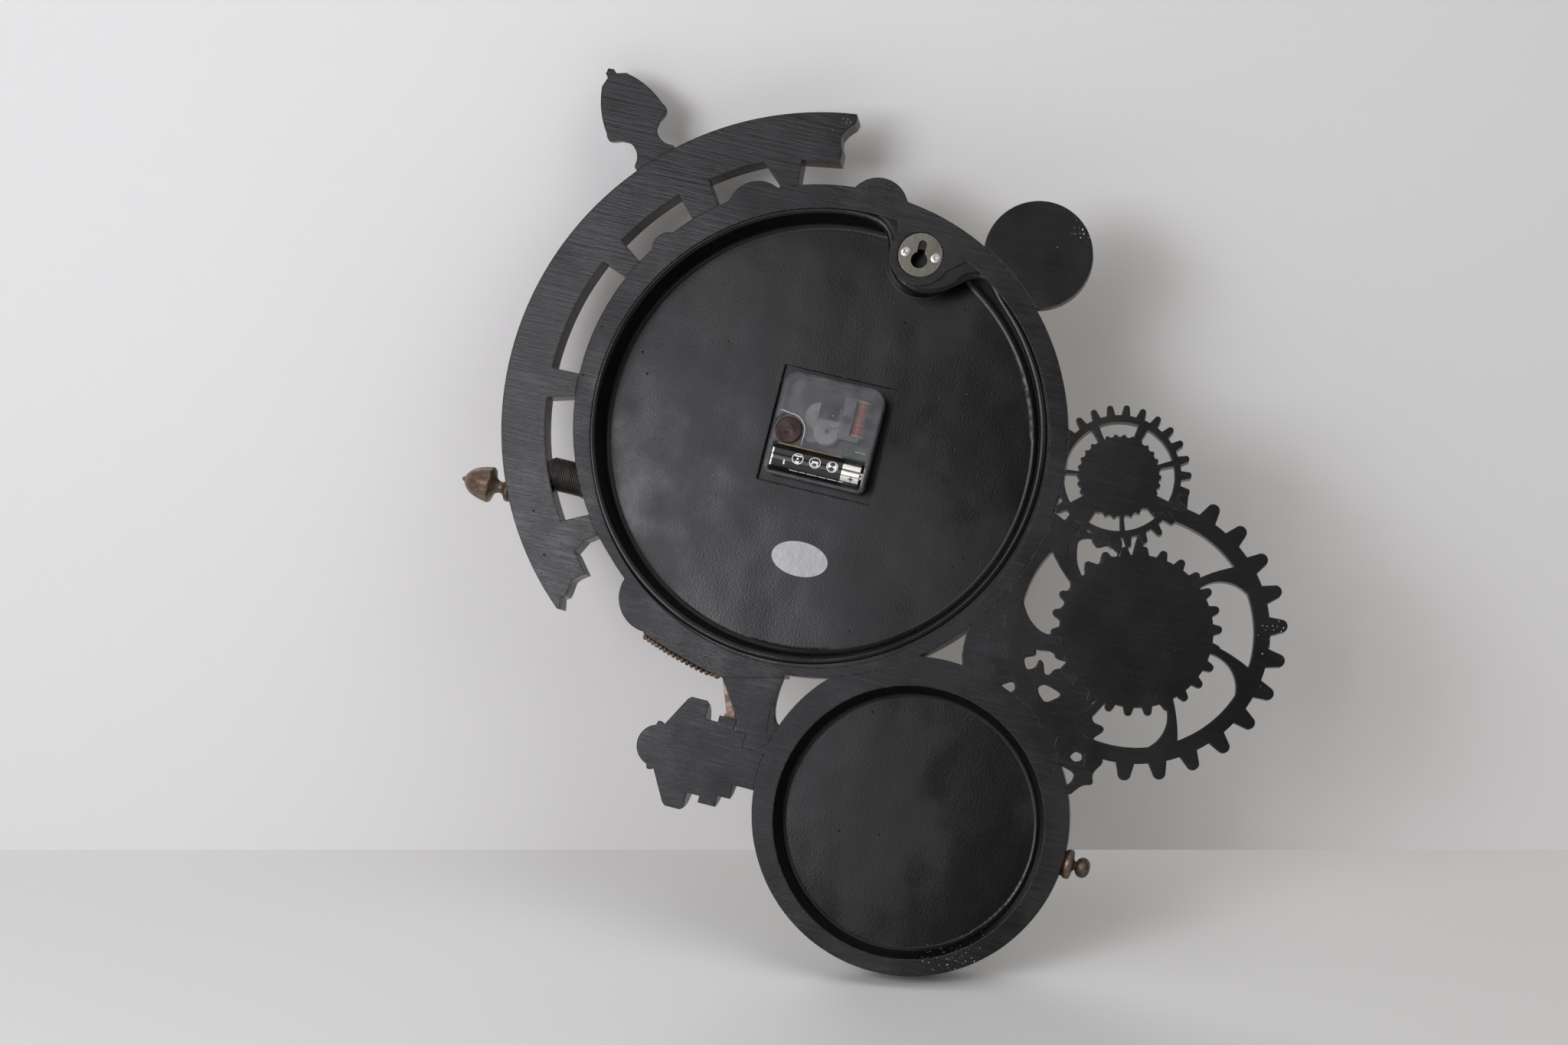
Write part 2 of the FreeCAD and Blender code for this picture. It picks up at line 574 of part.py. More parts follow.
# Outer arc band: places are (angle, share of the band's radius) about the main centre
BAND_TOP_END = [(84.3, 0.996), (84.6, 0.983), (84.2, 0.966), (82.8, 0.946), (81.9, 0.925),
                (81.9, 0.902), (82.4, 0.879), (82.2, 0.8395), (73.9, 0.847), (72.7, 0.766)]
BAND_LOWER_END = [(-49.7, 1.0), (-50.2, 0.993), (-48.5, 0.970), (-48.8, 0.955),
                  (-48.4, 0.943), (-47.0, 0.912), (-46.9, 0.895), (-47.3, 0.863),
                  (-43.1, 0.857), (-42.1, 0.857), (-40.9, 0.812), (-41.2, 0.766)]
# Windows: outer edge from and to, inner edge from and to, in degrees
BAND_WINDOWS = ((53.2, 65.7, 52.7, 69.4), (30.2, 46.0, 29.4, 45.9),
                (-1.2, 24.3, -1.3, 25.0), (-34.8, -7.7, -36.1, -6.4))


def make_band():
    radius = mm("band_radius")
    inner = mm("main_radius")
    front = -mm("band_thickness")
    top = [polar(*MAIN, radius * share, angle) for angle, share in BAND_TOP_END]
    low = [polar(*MAIN, radius * share, angle) for angle, share in BAND_LOWER_END]
    outer_start = polar(*MAIN, radius, BAND_LOWER_END[0][0])
    outer_end = polar(*MAIN, radius, BAND_TOP_END[0][0])
    middle = (BAND_LOWER_END[0][0] + BAND_TOP_END[0][0]) / 2
    inner_high = polar(*MAIN, inner, BAND_TOP_END[-1][0])
    inner_low = polar(*MAIN, inner, BAND_LOWER_END[-1][0])
    stretches = [[outer_start, polar(*MAIN, radius, middle), outer_end]]
    walk = [outer_end] + top[1:-1] + [inner_high]
    stretches += [list(pair) for pair in zip(walk, walk[1:])]
    stretches.append([inner_high, polar(*MAIN, inner, middle), inner_low])
    walk = [inner_low] + low[-2:0:-1] + [outer_start]
    stretches += [list(pair) for pair in zip(walk, walk[1:])]
    band = slab(curved_face(stretches), 0, front)
    window_radius = mm("band_inner_radius")
    windows = []
    for outer_low, outer_high, inner_from, inner_to in BAND_WINDOWS:
        far = [polar(*MAIN, window_radius, angle)
               for angle in (outer_low, (outer_low + outer_high) / 2, outer_high)]
        near = [polar(*MAIN, inner * 0.97, angle)
                for angle in (inner_to, (inner_from + inner_to) / 2, inner_from)]
        face = curved_face([far, [far[2], near[0]], near, [near[2], far[0]]])
        windows.append(slab(face, 0, front))
    return band.cut(windows + [housing]).Solids


def moulding_arc(radius, low, high, back):
    """A half-round bar bent along the band's front."""
    place = mm("moulding_place")
    profile = [(place - radius, 0.0), (place + radius, 0.0), (place, radius)]
    face = curved_face([[profile[0], profile[2], profile[1]], [profile[1], profile[0]]])
    bar = face.revolve(Vector(), Vector(0, 0, 1), high - low)
    bar.rotate(Vector(), Vector(1, 0, 0), 90)
    bar.rotate(Vector(), Vector(0, 1, 0), -low)
    bar.translate(point(MAIN, back))
    return bar


band = max(make_band(), key=lambda solid: solid.Volume)
keep("outer_arc_band", band)
keep("arc_moulding", moulding_arc(mm("moulding_radius"), *MOULDING_ANGLES,
                                  -mm("band_thickness")))


def front_rivets(places, back):
    rivets = []
    for place in places:
        head = domed_head(mm("rivet_radius"), mm("rivet_dome"), place, 0)
        head.rotate(point(place), Vector(0, 0, 1), 180)
        head.translate(Vector(0, back, 0))
        rivets.append(head)
    return Part.makeCompound(rivets)


RIVET_ANGLES = [MOULDING_ANGLES[0] + 8.0 * number for number in range(16)]
rivet_ring = (mm("moulding_place") + mm("moulding_radius") + mm("rivet_play")
              + mm("rivet_radius"))
keep("band_rivets", front_rivets([polar(*MAIN, rivet_ring, angle) for angle in RIVET_ANGLES],
                                 -mm("band_thickness")))

# Turned pieces: (share of the radius, share of the length), and where an arc begins
TOP_FINIAL_SHARES = [(0.0, -0.05), (0.67, -0.05), (0.67, 0.03), (0.6, 0.05), (0.43, 0.13),
                     (0.46, 0.25), (0.75, 0.33), (0.98, 0.36), (1.0, 0.40), (0.96, 0.44),
                     (0.83, 0.63), (0.42, 0.875), (0.15, 0.92), (0.14, 0.965), (0.0, 1.0)]
SIDE_FINIAL_SHARES = [(0.0, 0.0), (0.88, 0.0), (0.88, 0.05), (0.5, 0.10), (0.31, 0.2),
                      (0.42, 0.32), (0.93, 0.36), (1.0, 0.40), (0.96, 0.44), (0.86, 0.68),
                      (0.34, 0.92), (0.25, 0.93), (0.25, 0.97), (0.0, 1.0)]
CROWN_SHARES = [(0.0, 0.0), (1.0, 0.0), (1.0, 0.24), (0.55, 0.34), (0.55, 0.40), (0.8, 0.50),
                (0.78, 0.60), (0.6, 0.68), (0.72, 0.78), (0.62, 0.92), (0.3, 0.99), (0.0, 1.0)]
ARM_SHARES = [(0.0, 0.0), (0.345, 0.0), (0.345, 0.205), (0.6, 0.205), (0.6, 0.30), (0.8, 0.30),
              (0.8, 0.435), (0.68, 0.435), (0.68, 0.535), (0.96, 0.535), (1.0, 0.555),
              (1.0, 0.675), (0.95, 0.70), (0.405, 0.828), (0.44, 0.85), (0.435, 0.88),
              (0.36, 0.89), (0.0, 1.0)]


def shaped(shares, radius, length):
    return [(radius * across, length * along) for across, along in shares]


def make_top_finial():
    profile = shaped(TOP_FINIAL_SHARES, mm("top_finial_radius"), mm("top_finial_length"))
    solid = turned(chain(profile, smooth=(3, 7, 9)), 180.0, 180.0)
    foot = polar(*MAIN, mm("band_radius"), FINIAL_FOOT_ANGLE)
    solid = laid(solid, foot, 180.0 - FINIAL_ANGLE)
    if solid.BoundBox.YMax > mm("hanger_inset"):
        solid.rotate(point(foot), Vector(math.cos(math.radians(180 - FINIAL_ANGLE)), 0,
                                         math.sin(math.radians(180 - FINIAL_ANGLE))), 180)
    return solid.cut([disc(MAIN, mm("band_radius"), 0, -mm("housing_depth"))])


SIDE_FOOT = polar(*MAIN, mm("band_radius"), SIDE_ANGLE)


def make_side_finial():
    profile = shaped(SIDE_FINIAL_SHARES, mm("side_finial_radius"), mm("side_finial_length"))
    profile[0] = (0.0, -mm("side_finial_radius") * 0.3)
    profile[1] = (profile[1][0], -mm("side_finial_radius") * 0.3)
    solid = laid(turned(chain(profile, smooth=(3, 6, 8))), SIDE_FOOT, SIDE_TILT,
                 mm("side_finial_y"))
    return solid.cut(disc(MAIN, mm("band_radius"), 0, -mm("housing_depth")))


def make_ribbed_stud():
    """The ribbed bar between the band and the housing, with a collar at the housing."""
    span = mm("band_radius") - mm("main_radius")
    ribs = int((span - mm("stud_collar_length")) / mm("stud_pitch"))
    profile = [(0.0, 0.0), (mm("stud_radius"), 0.0)]
    for rib in range(ribs):
        base = rib * mm("stud_pitch")
        profile.append((mm("stud_radius"), base + mm("stud_pitch") * 0.35))
        profile.append((mm("stud_radius") - mm("stud_rib"), base + mm("stud_pitch") * 0.7))
        profile.append((mm("stud_radius"), base + mm("stud_pitch")))
    profile.append((mm("stud_radius"), span + mm("stud_collar_length")))
    profile.append((0.0, span + mm("stud_collar_length")))
    solid = turned(chain(profile))
    solid = laid(solid, SIDE_FOOT, SIDE_TILT + 180.0, mm("side_finial_y"))
    collar = laid(turned(chain([(0.0, 0.0), (mm("stud_collar_radius"), 0.0),
                                (mm("stud_collar_radius"), mm("stud_collar_length") * 2),
                                (0.0, mm("stud_collar_length") * 2)])),
                  polar(*SIDE_FOOT, span - mm("stud_collar_length"), SIDE_TILT + 180.0),
                  SIDE_TILT + 180.0, mm("side_finial_y"))
    gap = disc(MAIN, mm("band_inner_radius"), 0, -mm("housing_depth"))
    gap = gap.cut([housing, disc(MAIN, mm("main_radius") * 0.99, 0, -mm("housing_depth"))])
    return max(solid.fuse(collar).common(gap).Solids, key=lambda part: part.Volume)


keep("top_finial", make_top_finial())
keep("side_finial", make_side_finial())
keep("ribbed_stud", make_ribbed_stud())

# Lower housing: a round casting with a shallow hollow
lower_disc = disc(LOWER, mm("lower_radius"), 0, -mm("lower_depth"))


def make_lower_housing():
    hollow_place = (LOWER[0], LOWER[1] - mm("lower_hollow_shift"))
    hollow = rounded_pit(hollow_place, mm("lower_hollow_radius"), mm("lower_hollow_draft"),
                         mm("lower_hollow_depth"), mm("lower_hollow_draft") / 2)
    return lower_disc.cut([hollow, housing])


lower_housing = max(make_lower_housing().Solids, key=lambda part: part.Volume)
keep("lower_housing", lower_housing)


def make_crown():
    profile = shaped(CROWN_SHARES, mm("crown_radius"), mm("crown_length"))
    profile[0] = (0.0, -mm("crown_radius") * 0.2)
    profile[1] = (profile[1][0], -mm("crown_radius") * 0.2)
    foot = polar(*LOWER, mm("lower_radius"), CROWN_ANGLE)
    solid = laid(turned(chain(profile, smooth=(4, 6, 8))), foot, 180.0, mm("crown_y"))
    return solid.cut(lower_disc)


keep("crown_knob", make_crown())


# Valve arm: a half-round turned body that lies flat on the back plane
def make_arm():
    profile = shaped(ARM_SHARES, mm("arm_radius"), mm("arm_length"))
    profile[-2:] = cap(*profile[-2], mm("arm_length"))
    solid = turned(chain(profile, smooth=(13, 16)), 180.0, 180.0)
    rise = LOWER[1] + mm("arm_rise")
    foot = (LOWER[0] + mm("lower_radius") - mm("arm_overlap"), rise)
    solid = laid(solid, foot, 0.0)
    if solid.BoundBox.YMax > mm("hanger_inset"):
        solid.rotate(point(foot), Vector(1, 0, 0), 180)
    return max(solid.cut(lower_disc).Solids, key=lambda part: part.Volume)


valve_arm = make_arm()
keep("valve_arm", valve_arm)

# Wedge between the housing and the arm; shares of the arm's length about the arm's root
WEDGE_SHARES = [(0.45, 0.64), (0.28, 0.39), (0.22, 0.236), (0.04, 0.16), (-0.12, 0.3),
                (-0.06, 0.34), (-0.02, 0.44), (-0.005, 0.58), (-0.02, 0.735), (-0.02, 0.90),
                (0.42, 0.90)]


def make_wedge():
    root = (LOWER[0] + mm("lower_radius"), LOWER[1] + mm("arm_rise"))
    places = scaled(WEDGE_SHARES, mm("arm_length"), root)
    stretches = [places[index:index + 2] for index in range(5)]
    stretches.append([places[5], places[6], places[7], places[8]])
    stretches += [places[8:10], places[9:11], [places[10], places[0]]]
    plain = slab(curved_face(stretches), 0, -mm("wedge_thickness"))
    crease_from = (places[8][0] + mm("wedge_crease") * 3, places[7][1])
    crease_to = (places[3][0] - mm("wedge_crease") * 4, places[4][1])
    crease = Part.makeCylinder(mm("wedge_crease"), math.dist(crease_from, crease_to),
                               point(crease_from),
                               point(crease_to) - point(crease_from))
    wedge = plain.cut([housing, lower_disc, valve_arm, crease])
    return max(wedge.Solids, key=lambda part: part.Volume)


wedge = make_wedge()
keep("wedge_plate", wedge)


def make_funnel():
    """A half-round bronze skirt that stands in front of the wedge and narrows downwards."""
    top = mm("funnel_top_radius")
    foot = mm("funnel_foot_radius")
    wall = mm("funnel_wall")
    length = mm("funnel_length")
    profile = [(0.0, 0.0), (foot, 0.0), (foot + wall / 2, wall), (foot, wall * 2),
               (top - wall, length - wall * 2), (top, length - wall), (top, length),
               (0.0, length)]
    solid = turned(chain(profile, smooth=(1,)), 180.0, 180.0)
    middle = MAIN[0] - mm("funnel_shift")
    head = MAIN[1] - mm("main_radius") - mm("funnel_drop")
    solid.translate(Vector(middle, 0, head - length))
    if solid.BoundBox.YMax > mm("hanger_inset"):
        solid.rotate(Vector(middle, 0, 0), Vector(0, 0, 1), 180)
    solid.translate(Vector(0, -mm("wedge_thickness"), 0))
    return max(solid.cut([housing, lower_disc, valve_arm]).Solids, key=lambda part: part.Volume)


keep("funnel", make_funnel())


def make_rope():
    """Beads of a twisted bronze rope along the skirt's lower edge."""
    ends = scaled(SKIRT_SHARES[:3], mm("main_radius"))
    arc = Part.Arc(*[point(place, mm("rope_y")) for place in ends]).toShape()
    count = int(arc.Length / mm("rope_pitch"))
    beads = [Part.makeSphere(mm("rope_radius"), place)
             for place in arc.discretize(Number=count)[1:-1]]
    rope = beads[0].multiFuse(beads[1:]).cut([housing, valve_arm, wedge])
    return Part.makeCompound([part for part in rope.Solids
                              if part.Volume > mm("rope_radius") ** 3 * 0.2])


keep("rope_trim", make_rope())

# Upper roundel: a flat-backed disc with a dome on its front
roundel = disc(ROUNDEL, mm("roundel_radius"), 0, -mm("roundel_depth")).cut(housing)
keep("upper_roundel", max(roundel.Solids, key=lambda part: part.Volume))


def make_dome():
    radius = mm("dome_radius")
    height = mm("dome_height")
    profile = [(0.0, 0.0), (radius, 0.0), (radius, height * 0.12), (radius * 0.92, height * 0.2),
               (radius * 0.62, height * 0.62), (radius * 0.3, height * 0.76),
               (radius * 0.16, height * 0.8), (radius * 0.2, height * 0.9),
               (radius * 0.12, height * 0.98), (0.0, height)]
    solid = turned(chain(profile, smooth=(3, 6)))
    solid = about_y(solid, ROUNDEL, -mm("roundel_depth"))
    return max(solid.cut(housing).Solids, key=lambda part: part.Volume)


keep("roundel_dome", make_dome())


# Ornamental gears. Windows of the small gear in degrees, seen with X to the right
SMALL_WINDOWS = ((55, 97), (108, 150), (156, 194), (216, 250), (256, 290), (318, 350), (354, 406))


def sector(place, inner, outer, low, high):
    middle = (low + high) / 2
    return curved_face([[polar(*place, outer, angle) for angle in (low, middle, high)],
                        [polar(*place, outer, high), polar(*place, inner, high)],
                        [polar(*place, inner, angle) for angle in (high, middle, low)],
                        [polar(*place, inner, low), polar(*place, outer, low)]])


def make_small_gear():
    front = -mm("small_gear_thickness")
    wheel = slab(toothed_face(SMALL_GEAR, ORNAMENT_TEETH, mm("small_gear_radius"),
                              mm("small_gear_root"), 0.30, 0.20, 96.7, True), 0, front)
    inner = mm("small_disc_root")
    windows = [slab(sector(SMALL_GEAR, inner, mm("small_gear_rim"), low, high), 0, front)
               for low, high in SMALL_WINDOWS]
    core = slab(toothed_face(SMALL_GEAR, SMALL_DISC_TEETH, mm("small_disc_radius"),
                             inner, 0.32, 0.2, 0.0, True), 0, front)
    return wheel.cut(windows).fuse(core).cut(housing)


def make_large_gear(small_round):
    front = -mm("large_gear_thickness")
    wheel = slab(toothed_face(LARGE_GEAR, ORNAMENT_TEETH, mm("large_gear_radius"),
                              mm("large_gear_root"), 0.29, 0.19, 108.9, True), 0, front)
    inner, outer = mm("large_disc_root"), mm("large_gear_rim")
    windows = []
    for number in range(SPOKES):
        start = SPOKE_ANGLE + number * 360.0 / SPOKES
        finish_angle = start + 360.0 / SPOKES
        far = [polar(*LARGE_GEAR, outer, angle)
               for angle in (start + 19.5, (start + finish_angle) / 2 + 12, finish_angle + 4.5)]
        near = [polar(*LARGE_GEAR, inner, angle)
                for angle in (finish_angle - 3.5, (start + finish_angle) / 2, start + 3.5)]
        bend = polar(*LARGE_GEAR, (inner + outer) / 2, start + 7.0)
        side = polar(*LARGE_GEAR, (inner + outer) / 2, finish_angle + 0.5)
        face = curved_face([far, [far[2], side, near[0]], near, [near[2], bend, far[0]]])
        windows.append(slab(face, 0, front))
    core = slab(toothed_face(LARGE_GEAR, ORNAMENT_TEETH, mm("large_disc_radius"), inner,
                             0.30, 0.2, 96.1, True), 0, front)
    gear = wheel.cut(windows).fuse(core).cut([housing, lower_disc, small_round])
    return max(gear.Solids, key=lambda part: part.Volume)


small_gear = make_small_gear()
small_round = disc(SMALL_GEAR, mm("small_gear_rim"), 0, -mm("large_gear_thickness"))
small_round = small_round.fuse(slab(toothed_face(
    SMALL_GEAR, ORNAMENT_TEETH, mm("small_gear_radius"), mm("small_gear_root"),
    0.30, 0.20, 96.7, True), 0, -mm("large_gear_thickness")))
large_gear = make_large_gear(small_round)
keep("small_gear", max(small_gear.Solids, key=lambda part: part.Volume))
keep("large_gear", large_gear)

# Bridge of part gears between the housings; shares of the large gear's radius about its centre
BRIDGE_SHARES = [(1.07, -0.04), (0.79, 0.06), (0.758, -0.003), (0.754, -0.054), (0.714, -0.077),
                 (0.668, -0.072), (0.658, -0.106), (0.623, -0.159), (0.548, -0.17),
                 (0.486, -0.167), (0.36, -0.42), (0.208, -0.522), (0.144, -0.66),
                 (0.062, -0.673), (0.056, -0.699), (0.106, -0.718), (0.113, -0.781),
                 (0.081, -0.813), (-0.02, -0.85), (0.005, -0.897), (0.013, -0.966),
                 (0.056, -1.019), (0.035, -1.056), (0.051, -1.082), (0.111, -1.082),
                 (0.133, -1.116), (0.194, -1.206), (0.36, -1.243), (1.63, -0.736),
                 (1.63, -0.61)]
BRIDGE_HOLES = (
    [(0.684, -0.235), (0.503, -0.249), (0.487, -0.295), (0.405, -0.303), (0.413, -0.356),
     (0.486, -0.356), (0.495, -0.423), (0.548, -0.423), (0.563, -0.333), (0.601, -0.359),
     (0.623, -0.423), (0.668, -0.423), (0.691, -0.348), (0.623, -0.325), (0.623, -0.30)],
    [(0.824, -0.581), (0.722, -0.516), (0.699, -0.573), (0.744, -0.616)],
    [(0.541, -0.491), (0.477, -0.486), (0.375, -0.529), (0.472, -0.616), (0.525, -0.589),
     (0.548, -0.53)],
    [(0.209, -0.876), (0.156, -0.890), (0.157, -0.935), (0.232, -0.935)],
    [(0.303, -0.989), (0.171, -1.011), (0.224, -1.124)],
)


def make_bridge():
    radius = mm("large_gear_radius")
    front = -mm("bridge_thickness")
    plain = slab(polygon(scaled(BRIDGE_SHARES, radius, LARGE_GEAR)), 0, front)
    holes = [slab(polygon(scaled(shares, radius, LARGE_GEAR)), 0, front)
             for shares in BRIDGE_HOLES]
    bridge = plain.cut(holes + [housing, lower_disc, large_gear])
    inner = disc(MAIN, mm("main_radius"), 0, front)
    solids = [part for part in bridge.cut(inner).Solids
              if part.Volume > mm("bridge_thickness") ** 3 * 0.3]
    return max(solids, key=lambda part: part.Volume)


keep("gear_bridge", make_bridge())


def boss(place, radius, height, back):
    profile = [(0.0, 0.0), (radius, 0.0), (radius, height * 0.25), (radius * 0.86, height * 0.4),
               (radius * 0.7, height * 0.4), (radius * 0.62, height * 0.62)]
    profile += cap(radius * 0.4, height * 0.7, height)
    return about_y(turned(chain(profile, smooth=(6,))), place, back)


keep("large_gear_boss", boss(LARGE_GEAR, mm("large_boss_radius"), mm("large_boss_height"),
                             -mm("large_gear_thickness")))
keep("small_gear_boss", boss(SMALL_GEAR, mm("small_boss_radius"), mm("small_boss_height"),
                             -mm("small_gear_thickness")))

# Front of the clock: bezel, dial, numerals and minute track
BEZEL_IN, BEZEL_OUT = SUMS["bezel_inner"], SUMS["bezel_outer"]


def between(inner, outer, share):
    """An expression for a radius at a share of the way from an inner to an outer one."""
    return f"{outer} * {share} + {inner} * {round(1 - share, 2)}"


RIVET_SEAT_SHARES = [(0.94, 0.38), (0.69, 0.38)]
BEZEL_PROFILE_SHARES = [(1.0, 0.28), *RIVET_SEAT_SHARES, (0.64, 0.70), (0.54, 0.94),
                        (0.40, 1.0), (0.26, 0.92), (0.16, 0.70), (0.0, 0.52)]
lathe("main_bezel", [(BEZEL_IN, "0"), (BEZEL_OUT, "0")] + [
    (between(BEZEL_IN, BEZEL_OUT, across), f"-Sizes.bezel_height * {along}")
    for across, along in BEZEL_PROFILE_SHARES
], y="-Sizes.housing_depth")


def draw_dial(sketch):
    draw_circle(sketch, SUMS["dial_radius"])
    draw_circle(sketch, "Sizes.bushing_radius + Sizes.hanger_seat_play")


plate("dial_plate", draw_dial, "Sizes.dial_thickness", y="-Sizes.housing_depth")
DIAL_FRONT = -mm("housing_depth") - mm("dial_thickness")


def stroke(x_from, x_to, width, height):
    """One slanted or upright bar of a numeral, drawn about the numeral's middle."""
    low, high = -height / 2, height / 2
    return polygon([(x_from - width / 2, low), (x_from + width / 2, low),
                    (x_to + width / 2, high), (x_to - width / 2, high)])


def make_numeral(word):
    height, bold, hair = mm("numeral_height"), mm("numeral_stroke"), mm("numeral_hair")
    step = mm("numeral_step")
    widths = {"I": step, "V": step * 1.9, "X": step * 1.9}
    total = sum(widths[letter] for letter in word)
    x = -total / 2
    faces = []
    for letter in word:
        half = widths[letter] / 2
        middle = x + half
        if letter == "I":
            faces.append(stroke(middle, middle, bold, height))
        if letter == "V":
            faces.append(stroke(middle, middle - half * 0.62, bold, height))
            faces.append(stroke(middle, middle + half * 0.62, hair, height))
        if letter == "X":
            faces.append(stroke(middle + half * 0.6, middle - half * 0.6, bold, height))
            faces.append(stroke(middle - half * 0.6, middle + half * 0.6, hair, height))
        x += widths[letter]
    for level in (-height / 2 + hair / 2, height / 2 - hair / 2):
        faces.append(polygon([(-total / 2, level - hair / 2), (total / 2, level - hair / 2),
                              (total / 2, level + hair / 2), (-total / 2, level + hair / 2)]))
    bars = [slab(face, DIAL_FRONT, DIAL_FRONT - mm("numeral_relief")) for face in faces]
    return bars[0].multiFuse(bars[1:]).removeSplitter()


def make_numerals():
    numerals = []
    for hour, word in enumerate(NUMERALS):
        solid = make_numeral(word)
        solid.translate(Vector(0, 0, mm("numeral_radius")))
        solid.rotate(Vector(), Vector(0, 1, 0), 30 * hour)
        numerals.append(solid)
    return Part.makeCompound(numerals)


def make_track():
    front = DIAL_FRONT - mm("numeral_relief")
    ring = disc(ARBOR, mm("track_outer"), DIAL_FRONT, front)
    ring = ring.cut(disc(ARBOR, mm("track_inner"), DIAL_FRONT, front))
    ticks = []
    for minute in range(60):
        half = mm("tick_width") * (1.0 if minute % 5 == 0 else 0.5)
        reach = mm("track_outer") + mm("tick_length")
        tick = block(-half, half, mm("track_inner"), reach, DIAL_FRONT, front)
        tick.rotate(Vector(), Vector(0, 1, 0), 6 * minute)
        ticks.append(tick)
    return ring.multiFuse(ticks).removeSplitter()


keep("hour_numerals", make_numerals())
keep("minute_track", make_track())
flange = -mm("housing_depth") - mm("bezel_height") * RIVET_SEAT_SHARES[0][1]
seat_middle = (RIVET_SEAT_SHARES[0][0] + RIVET_SEAT_SHARES[1][0]) / 2
rivet_circle = mm("bezel_inner") + mm("bezel_width") * seat_middle
keep("bezel_rivets", front_rivets([polar(*ARBOR, rivet_circle, 15 + 30 * number)
                                   for number in range(12)], flange))

# Front gauge on the lower housing
GAUGE_IN, GAUGE_OUT = SUMS["gauge_bezel_inner"], SUMS["gauge_bezel_outer"]
GAUGE_PROFILE_SHARES = [(1.0, 0.3), (0.85, 0.55), (0.72, 0.6), (0.6, 0.95), (0.4, 1.0),
                        (0.2, 0.9), (0.0, 0.5)]
gauge = lathe("gauge_bezel", [(GAUGE_IN, "0"), (GAUGE_OUT, "0")] + [
    (between(GAUGE_IN, GAUGE_OUT, across), f"-Sizes.gauge_bezel_height * {along}")
    for across, along in GAUGE_PROFILE_SHARES
], y="-Sizes.lower_depth")
RIM_REACH = f"({SUMS['full_radius']} + Sizes.lower_radius - Sizes.lower_overlap)"
gauge.setExpression("Placement.Base.x", f"Sizes.full_x + {RIM_REACH} * cos({LOWER_ANGLE} deg)")
gauge.setExpression("Placement.Base.z", f"Sizes.full_z + {RIM_REACH} * sin({LOWER_ANGLE} deg)")


def make_gauge_face():
    back = -mm("lower_depth")
    front = back - mm("gauge_face_thickness")
    face = disc(LOWER, mm("gauge_bezel_inner") - mm("gauge_face_play"), back, front)
    ticks = []
    for number in range(21):
        angle = -45 + number * 13.5
        major = number % 5 == 0
        length = mm("gauge_tick_length") * (1.0 if major else 0.6)
        half = mm("gauge_tick_width") * (0.5 if major else 0.3)
        reach = mm("gauge_bezel_inner") - mm("gauge_tick_margin")
        tick = block(reach - length, reach, -half, half, front, front - mm("gauge_tick_height"))
        tick.rotate(Vector(), Vector(0, 1, 0), -angle)
        tick.translate(point(LOWER))
        ticks.append(tick)
    return face.multiFuse(ticks)


def make_needle():
    back = -mm("lower_depth") - mm("gauge_face_thickness")
    lift = back - mm("needle_lift")
    front = lift - mm("needle_thickness")
    half = mm("needle_width") / 2
    blade = polygon([(-mm("needle_tail"), -half), (-mm("needle_tail"), half),
                     (mm("needle_length") * 0.2, half), (mm("needle_length"), half * 0.2),
                     (mm("needle_length"), -half * 0.2), (mm("needle_length") * 0.2, -half)])
    solid = slab(blade, lift, front)
    solid.rotate(Vector(), Vector(0, 1, 0), -40)
    solid.translate(point(LOWER))
    hub = boss(LOWER, mm("needle_hub_radius"), mm("needle_hub_height") + mm("needle_lift"), back)
    return hub.fuse(solid)


keep("gauge_face", make_gauge_face())
keep("gauge_needle", make_needle())

# Quartz movement. Levels in depth
CASE_FRONT = mm("case_front")
CASE_BACK = CASE_FRONT + mm("case_depth")
CASE_FLOOR = CASE_FRONT + mm("case_wall")
TRAY_TOP = CASE_FRONT + mm("case_tray")
COVER_INNER = CASE_BACK - mm("cover_wall")


def layer(number):
    """The front face of a wheel layer, counted from the case's floor."""
    return CASE_FLOOR + mm("layer_start") + (number - 1) * mm("layer_pitch")


def train_place(distance, angle, centre=ARBOR):
    return polar(*centre, distance, angle)


def pair_distance(teeth_a, teeth_b, module):
    return (teeth_a + teeth_b) / 2 * module


THIRD_MODULE = mm("third_distance") * 2 / (SECOND_PINION_TEETH + THIRD_TEETH)
MINUTE_WHEEL = train_place(pair_distance(MINUTE_TEETH, MINUTE_WHEEL_TEETH, mm("minute_module")),
                           SETTING_ANGLE)
KNOB = train_place(pair_distance(MINUTE_WHEEL_TEETH, SETTING_TEETH, mm("minute_module")),
                   SETTING_ANGLE, MINUTE_WHEEL)
STEP = train_place(pair_distance(SECOND_TEETH, STEP_PINION_TEETH, mm("fine_module")), STEP_ANGLE)
THIRD = train_place(mm("third_distance"), THIRD_ANGLE)
ROTOR = train_place(pair_distance(STEP_TEETH, ROTOR_TEETH, mm("fine_module")), ROTOR_ANGLE, STEP)


def case_outline(inset, back, front):
    """The case's rounded square, drawn smaller by an inset."""
    half_x = mm("case_width") / 2 - inset
    half_z = mm("case_height") / 2 - inset
    z = mm("case_z")
    solid = block(-half_x, half_x, z - half_z, z + half_z, back, front)
    for name, side in (("case_corner", 1), ("case_foot_corner", -1)):
        corner = mm(name) - inset
        edges = [edge for edge in solid.Edges
                 if edge.BoundBox.YLength > (back - front) * 0.9
                 and (edge.BoundBox.Center.z - z) * side > half_z * 0.9]
        solid = solid.makeFillet(corner, edges)
    return solid


